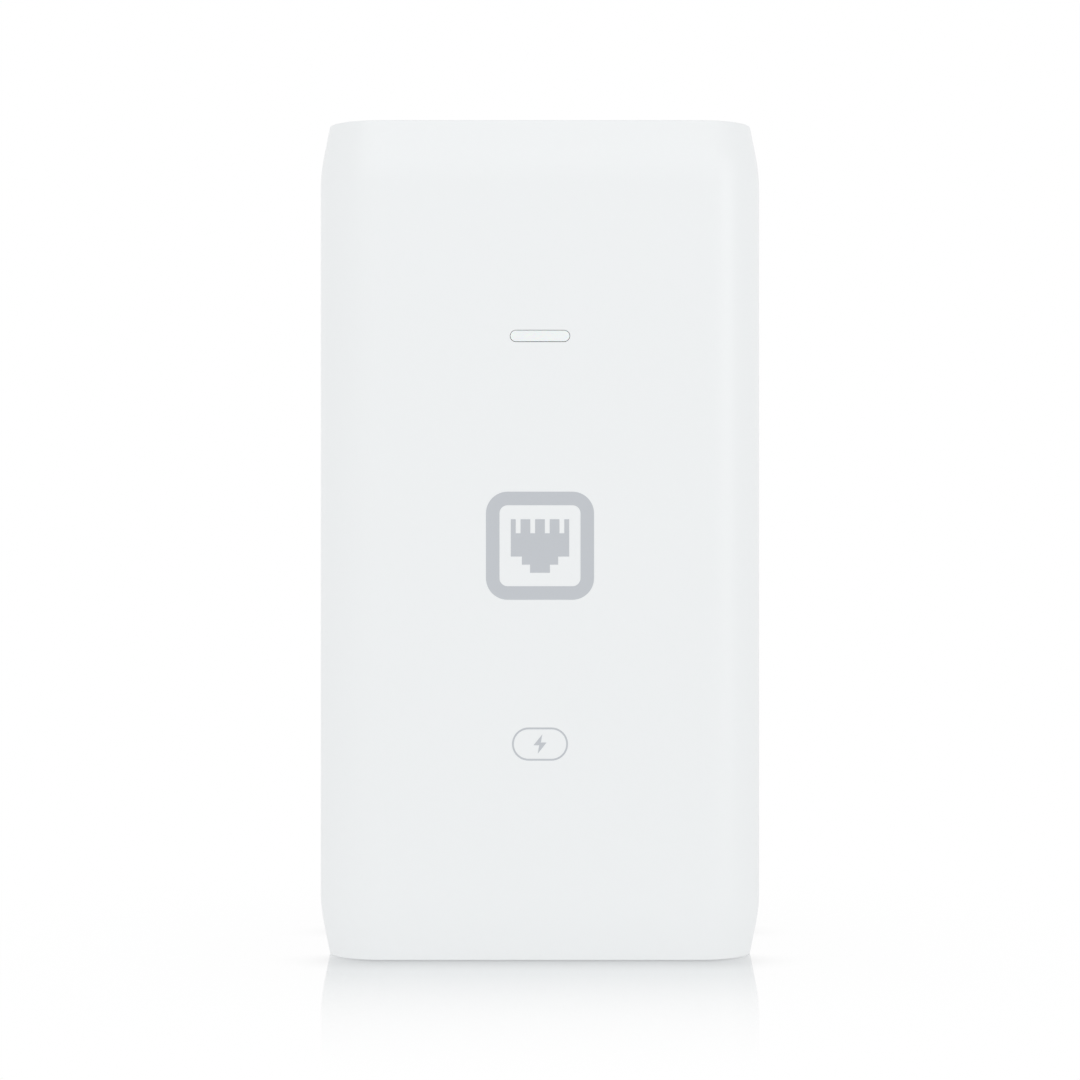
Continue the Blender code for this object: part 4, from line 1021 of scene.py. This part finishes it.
def build_inlet(looks):
    """The appliance inlet: its cavity with two cut corners, a collar round each pin, and the three pins."""
    low, high = (-INLET_HALF, INLET_LOW_Y, INLET_LOW_Z), (INLET_HALF, INLET_HIGH_Y, INLET_HIGH_Z)
    body = rounded_box("inlet_moulding", low, high, 1.5, "Z", looks["inlet"])
    bevel(body, 0.3, 3, angle=60)

    def cavity(grow):
        x, low_y, high_y, corner = 12.2 + grow, -9.45 - grow, 7.55 + grow, 4.6 + 0.6 * grow
        sharp = [(x, high_y), (-x, high_y), (-x, low_y + corner), (-x + corner, low_y),
                 (x - corner, low_y), (x, low_y + corner)]
        return rounded_corners(sharp, 0.8)

    levels = [(CAVITY_DEEP, cavity(0)), (INLET_LOW_Z + 0.5, cavity(0)), (INLET_LOW_Z - 0.5, cavity(1.0))]
    cut(body, prism("inlet_cavity", levels))
    for name, (x, y) in PINS.items():
        low, high = (x - 2.1, y - 3.1, CAVITY_DEEP - 0.8), (x + 2.1, y + 3.1, 18.0)
        join(body, rounded_box(f"{name}_collar", low, high, 0.8, "Z"))
        cut(body, block(f"{name}_pin_slot", (x - 1.3, y - 2.3, 15.0), (x + 1.3, y + 2.3, 24.0)))
    place(body, "casing", "black_plastic", "inlet_body")
    for name, (x, y) in PINS.items():
        tip_z = 3.0 if name == "earth" else 4.0
        low, high = (x - 1, y - 2, tip_z), (x + 1, y + 2, 27.0)
        blade = rounded_box(f"{name}_blade", low, high, 0.35, "Z", looks["pin"])
        bevel(blade, 0.6, 4, angle=60)
        place(blade, "casing", "nickel_steel", f"inlet_pin_{name}")


def rounded_corners(points, radius, steps=5):
    """An outline with each corner turned into an arc."""
    made = []
    count = len(points)
    for i, point in enumerate(points):
        corner = Vector(point)
        before = (Vector(points[i - 1]) - corner).normalized()
        after = (Vector(points[(i + 1) % count]) - corner).normalized()
        half = before.angle(after) / 2
        reach = radius / math.tan(half)
        centre = corner + (before + after).normalized() * radius / math.sin(half)
        start, end = corner + before * reach - centre, corner + after * reach - centre
        for step in range(steps + 1):
            mixed = start.lerp(end, step / steps).normalized() * radius + centre
            made.append((mixed.x, mixed.y))
    return made


# The studio


def light(name, place, target, size, power, colour=(1, 1, 1)):
    data = bpy.data.lights.new(name, "AREA")
    data.shape = "RECTANGLE"
    data.size, data.size_y = size
    data.energy = power
    data.color = colour
    lamp = bpy.data.objects.new(name, data)
    lamp.location = place
    lamp.rotation_euler = (Vector(target) - Vector(place)).to_track_quat("-Z", "Y").to_euler()
    lamp.visible_camera = False
    bpy.context.scene.collection.objects.link(lamp)
    return lamp


def build_world():
    """White to the camera and in reflections. As light it is dimmer overhead, at both sides and behind."""
    world = bpy.data.worlds.new("studio")
    bpy.context.scene.world = world
    world.use_nodes = True
    world.node_tree.nodes.clear()
    sky = Nodes(world.node_tree)
    split = sky.node("ShaderNodeSeparateXYZ")
    sky.link(sky.node("ShaderNodeTexCoord").outputs["Generated"], split.inputs[0])
    level = SKY_LEVEL
    for axis, slope, droop in SKY_BENDS:
        along = split.outputs[axis]
        bent = sky.math("ADD", sky.math("MULTIPLY", along, droop), slope)
        level = sky.math("ADD", sky.math("MULTIPLY", along, bent), level)
    behind = sky.math("MAXIMUM", split.outputs["Y"], 0.0)
    level = sky.math("ADD", sky.math("MULTIPLY", behind, SKY_BEHIND), level)
    lit = sky.node("ShaderNodeBackground")
    sky.link(level, lit.inputs["Strength"])
    seen = sky.node("ShaderNodeBackground")
    seen.inputs["Color"].default_value = (1, 1, 1, 1)
    path = sky.node("ShaderNodeLightPath")
    direct = sky.math("MAXIMUM", path.outputs["Is Camera Ray"], path.outputs["Is Glossy Ray"])
    mixed = sky.mix(direct, lit.outputs[0], seen.outputs[0])
    sky.link(mixed, sky.node("ShaderNodeOutputWorld").inputs["Surface"])


def floor_material():
    """A white table that mirrors the case where they meet, fading within a hand's breadth of it. Near the
    case a painted contact shadow darkens the mirror and the white glow. To the case the table glows as a
    painted fill light from below, dimmer near the case as painted contact shade.
    """
    fade_start, fade_length, painted_shadow_reach, lift_reach = 0.015, 0.115, 0.014, 0.012
    shader = Shader("studio_floor")
    split = shader.node("ShaderNodeSeparateXYZ")
    shader.link(shader.node("ShaderNodeNewGeometry").outputs["Position"], split.inputs[0])

    def past(axis, middle, half):
        offset = shader.math("ABSOLUTE", shader.math("SUBTRACT", split.outputs[axis], middle * MM), 0.0)
        return shader.math("MAXIMUM", shader.math("SUBTRACT", offset, half * MM), 0.0)

    across = past(0, 0.0, WIDTH / 2 - CORNER_RADIUS)
    along = past(1, (BACK_Y + FRONT_Y) / 2, (BACK_Y - FRONT_Y) / 2 - CORNER_RADIUS)
    squares = shader.math(
        "ADD", shader.math("MULTIPLY", across, across), shader.math("MULTIPLY", along, along)
    )
    from_corner = shader.math("SQRT", squares, 0.0)
    base_radius = (CORNER_RADIUS - lean(0.0)) * MM
    distance = shader.math("MAXIMUM", shader.math("SUBTRACT", from_corner, base_radius), 0.0)
    reach = shader.math("DIVIDE", shader.math("SUBTRACT", distance, fade_start), fade_length, clamp=True)
    fade = shader.math("POWER", shader.math("SUBTRACT", 1.0, reach), 3.0)

    # Painted contact shadow: the white glow the camera sees dims slightly where the case hides the table
    contact = shader.node("ShaderNodeAmbientOcclusion", samples=8)
    contact.inputs["Distance"].default_value = lift_reach
    glow = shader.node("ShaderNodeEmission")
    level = shader.between(contact.outputs["AO"], 0.95, 1.0)
    shader.link(level, glow.inputs["Strength"])
    mirror = shader.node("ShaderNodeBsdfGlossy")
    mirror.inputs["Roughness"].default_value = 0.04
    # Painted contact shadow: in front of the case the mirror's colour darkens from 0.99 to 0.71 close to
    # where they meet
    away = shader.math("DIVIDE", distance, painted_shadow_reach, clamp=True)
    near = shader.math("POWER", shader.math("SUBTRACT", 1.0, away), 2.0)
    before = shader.math("POWER", shader.math("DIVIDE", along, shader.math("ADD", from_corner, 0.0001)), 2.0)
    painted_shadow_mask = shader.math("MULTIPLY", near, before)
    painted_contact_shadow = shader.mix_colour(painted_shadow_mask, (0.99, 0.99, 0.99), (0.71, 0.71, 0.715))
    shader.link(painted_contact_shadow, mirror.inputs["Color"])
    seen = shader.mix(fade, glow.outputs[0], mirror.outputs[0])

    # To everything but the camera the table is grey and matt, and it also glows as a painted fill light on
    # the case from below. The glow is dimmer near the case as painted contact shade.
    matt = shader.node("ShaderNodeBsdfDiffuse")
    matt.inputs["Color"].default_value = (0.35, 0.35, 0.35, 1)
    lift = shader.node("ShaderNodeEmission")
    spread = shader.math("DIVIDE", distance, lift_reach, clamp=True)
    shader.link(shader.between(spread, 0.58, 0.63), lift.inputs["Strength"])
    under = shader.node("ShaderNodeAddShader")
    shader.link(matt.outputs[0], under.inputs[0])
    shader.link(lift.outputs[0], under.inputs[1])
    to_camera = shader.node("ShaderNodeLightPath").outputs["Is Camera Ray"]
    both = shader.mix(to_camera, under.outputs[0], seen)
    shader.link(both, shader.tree.nodes["Material Output"].inputs["Surface"])
    return shader.material


def build_studio():
    build_world()
    shape = bmesh.new()
    bmesh.ops.create_circle(shape, cap_ends=True, radius=6.0, segments=64)
    floor = finish_shape(shape, "studio_floor", floor_material())
    floor.location.z = -0.0001
    middle = (0, 0, 0.07)
    light("key", (0.7, -1.3, 1.1), middle, (1.0, 1.0), 1.0, (1.0, 0.99, 0.98)).visible_glossy = False
    light("sheen_right", (1.49, -1.0, 0.1), middle, (0.7, 1.4), 4.6).visible_diffuse = False
    light("sheen_above", (0.0, -1.5, 0.95), middle, (3.0, 0.9), 7.0).visible_diffuse = False


def build_camera():
    data = bpy.data.cameras.new("camera")
    data.sensor_width = SENSOR
    data.lens = SENSOR * CAMERA_DISTANCE / FRAME_WIDTH
    data.clip_start, data.clip_end = 0.01, 20.0
    camera = bpy.data.objects.new("camera", data)
    camera.location = (0.0, (FRONT_Y - CAMERA_DISTANCE) * MM, CAMERA_Z * MM)
    camera.rotation_euler = (math.pi / 2, 0.0, 0.0)
    bpy.context.scene.collection.objects.link(camera)
    bpy.context.scene.camera = camera


def main():
    bpy.context.scene.view_settings.view_transform = "Standard"
    looks = make_materials()
    finish_cad_nodes(looks)
    build_front_shell(looks)
    build_rear_shell(looks)
    build_panels(looks)
    build_light_pipe(looks)
    build_screws(looks)
    build_bracket(looks)
    build_latch(looks)
    build_jacks(looks)
    build_inlet(looks)
    build_prints(looks)
    build_studio()
    build_camera()


main()
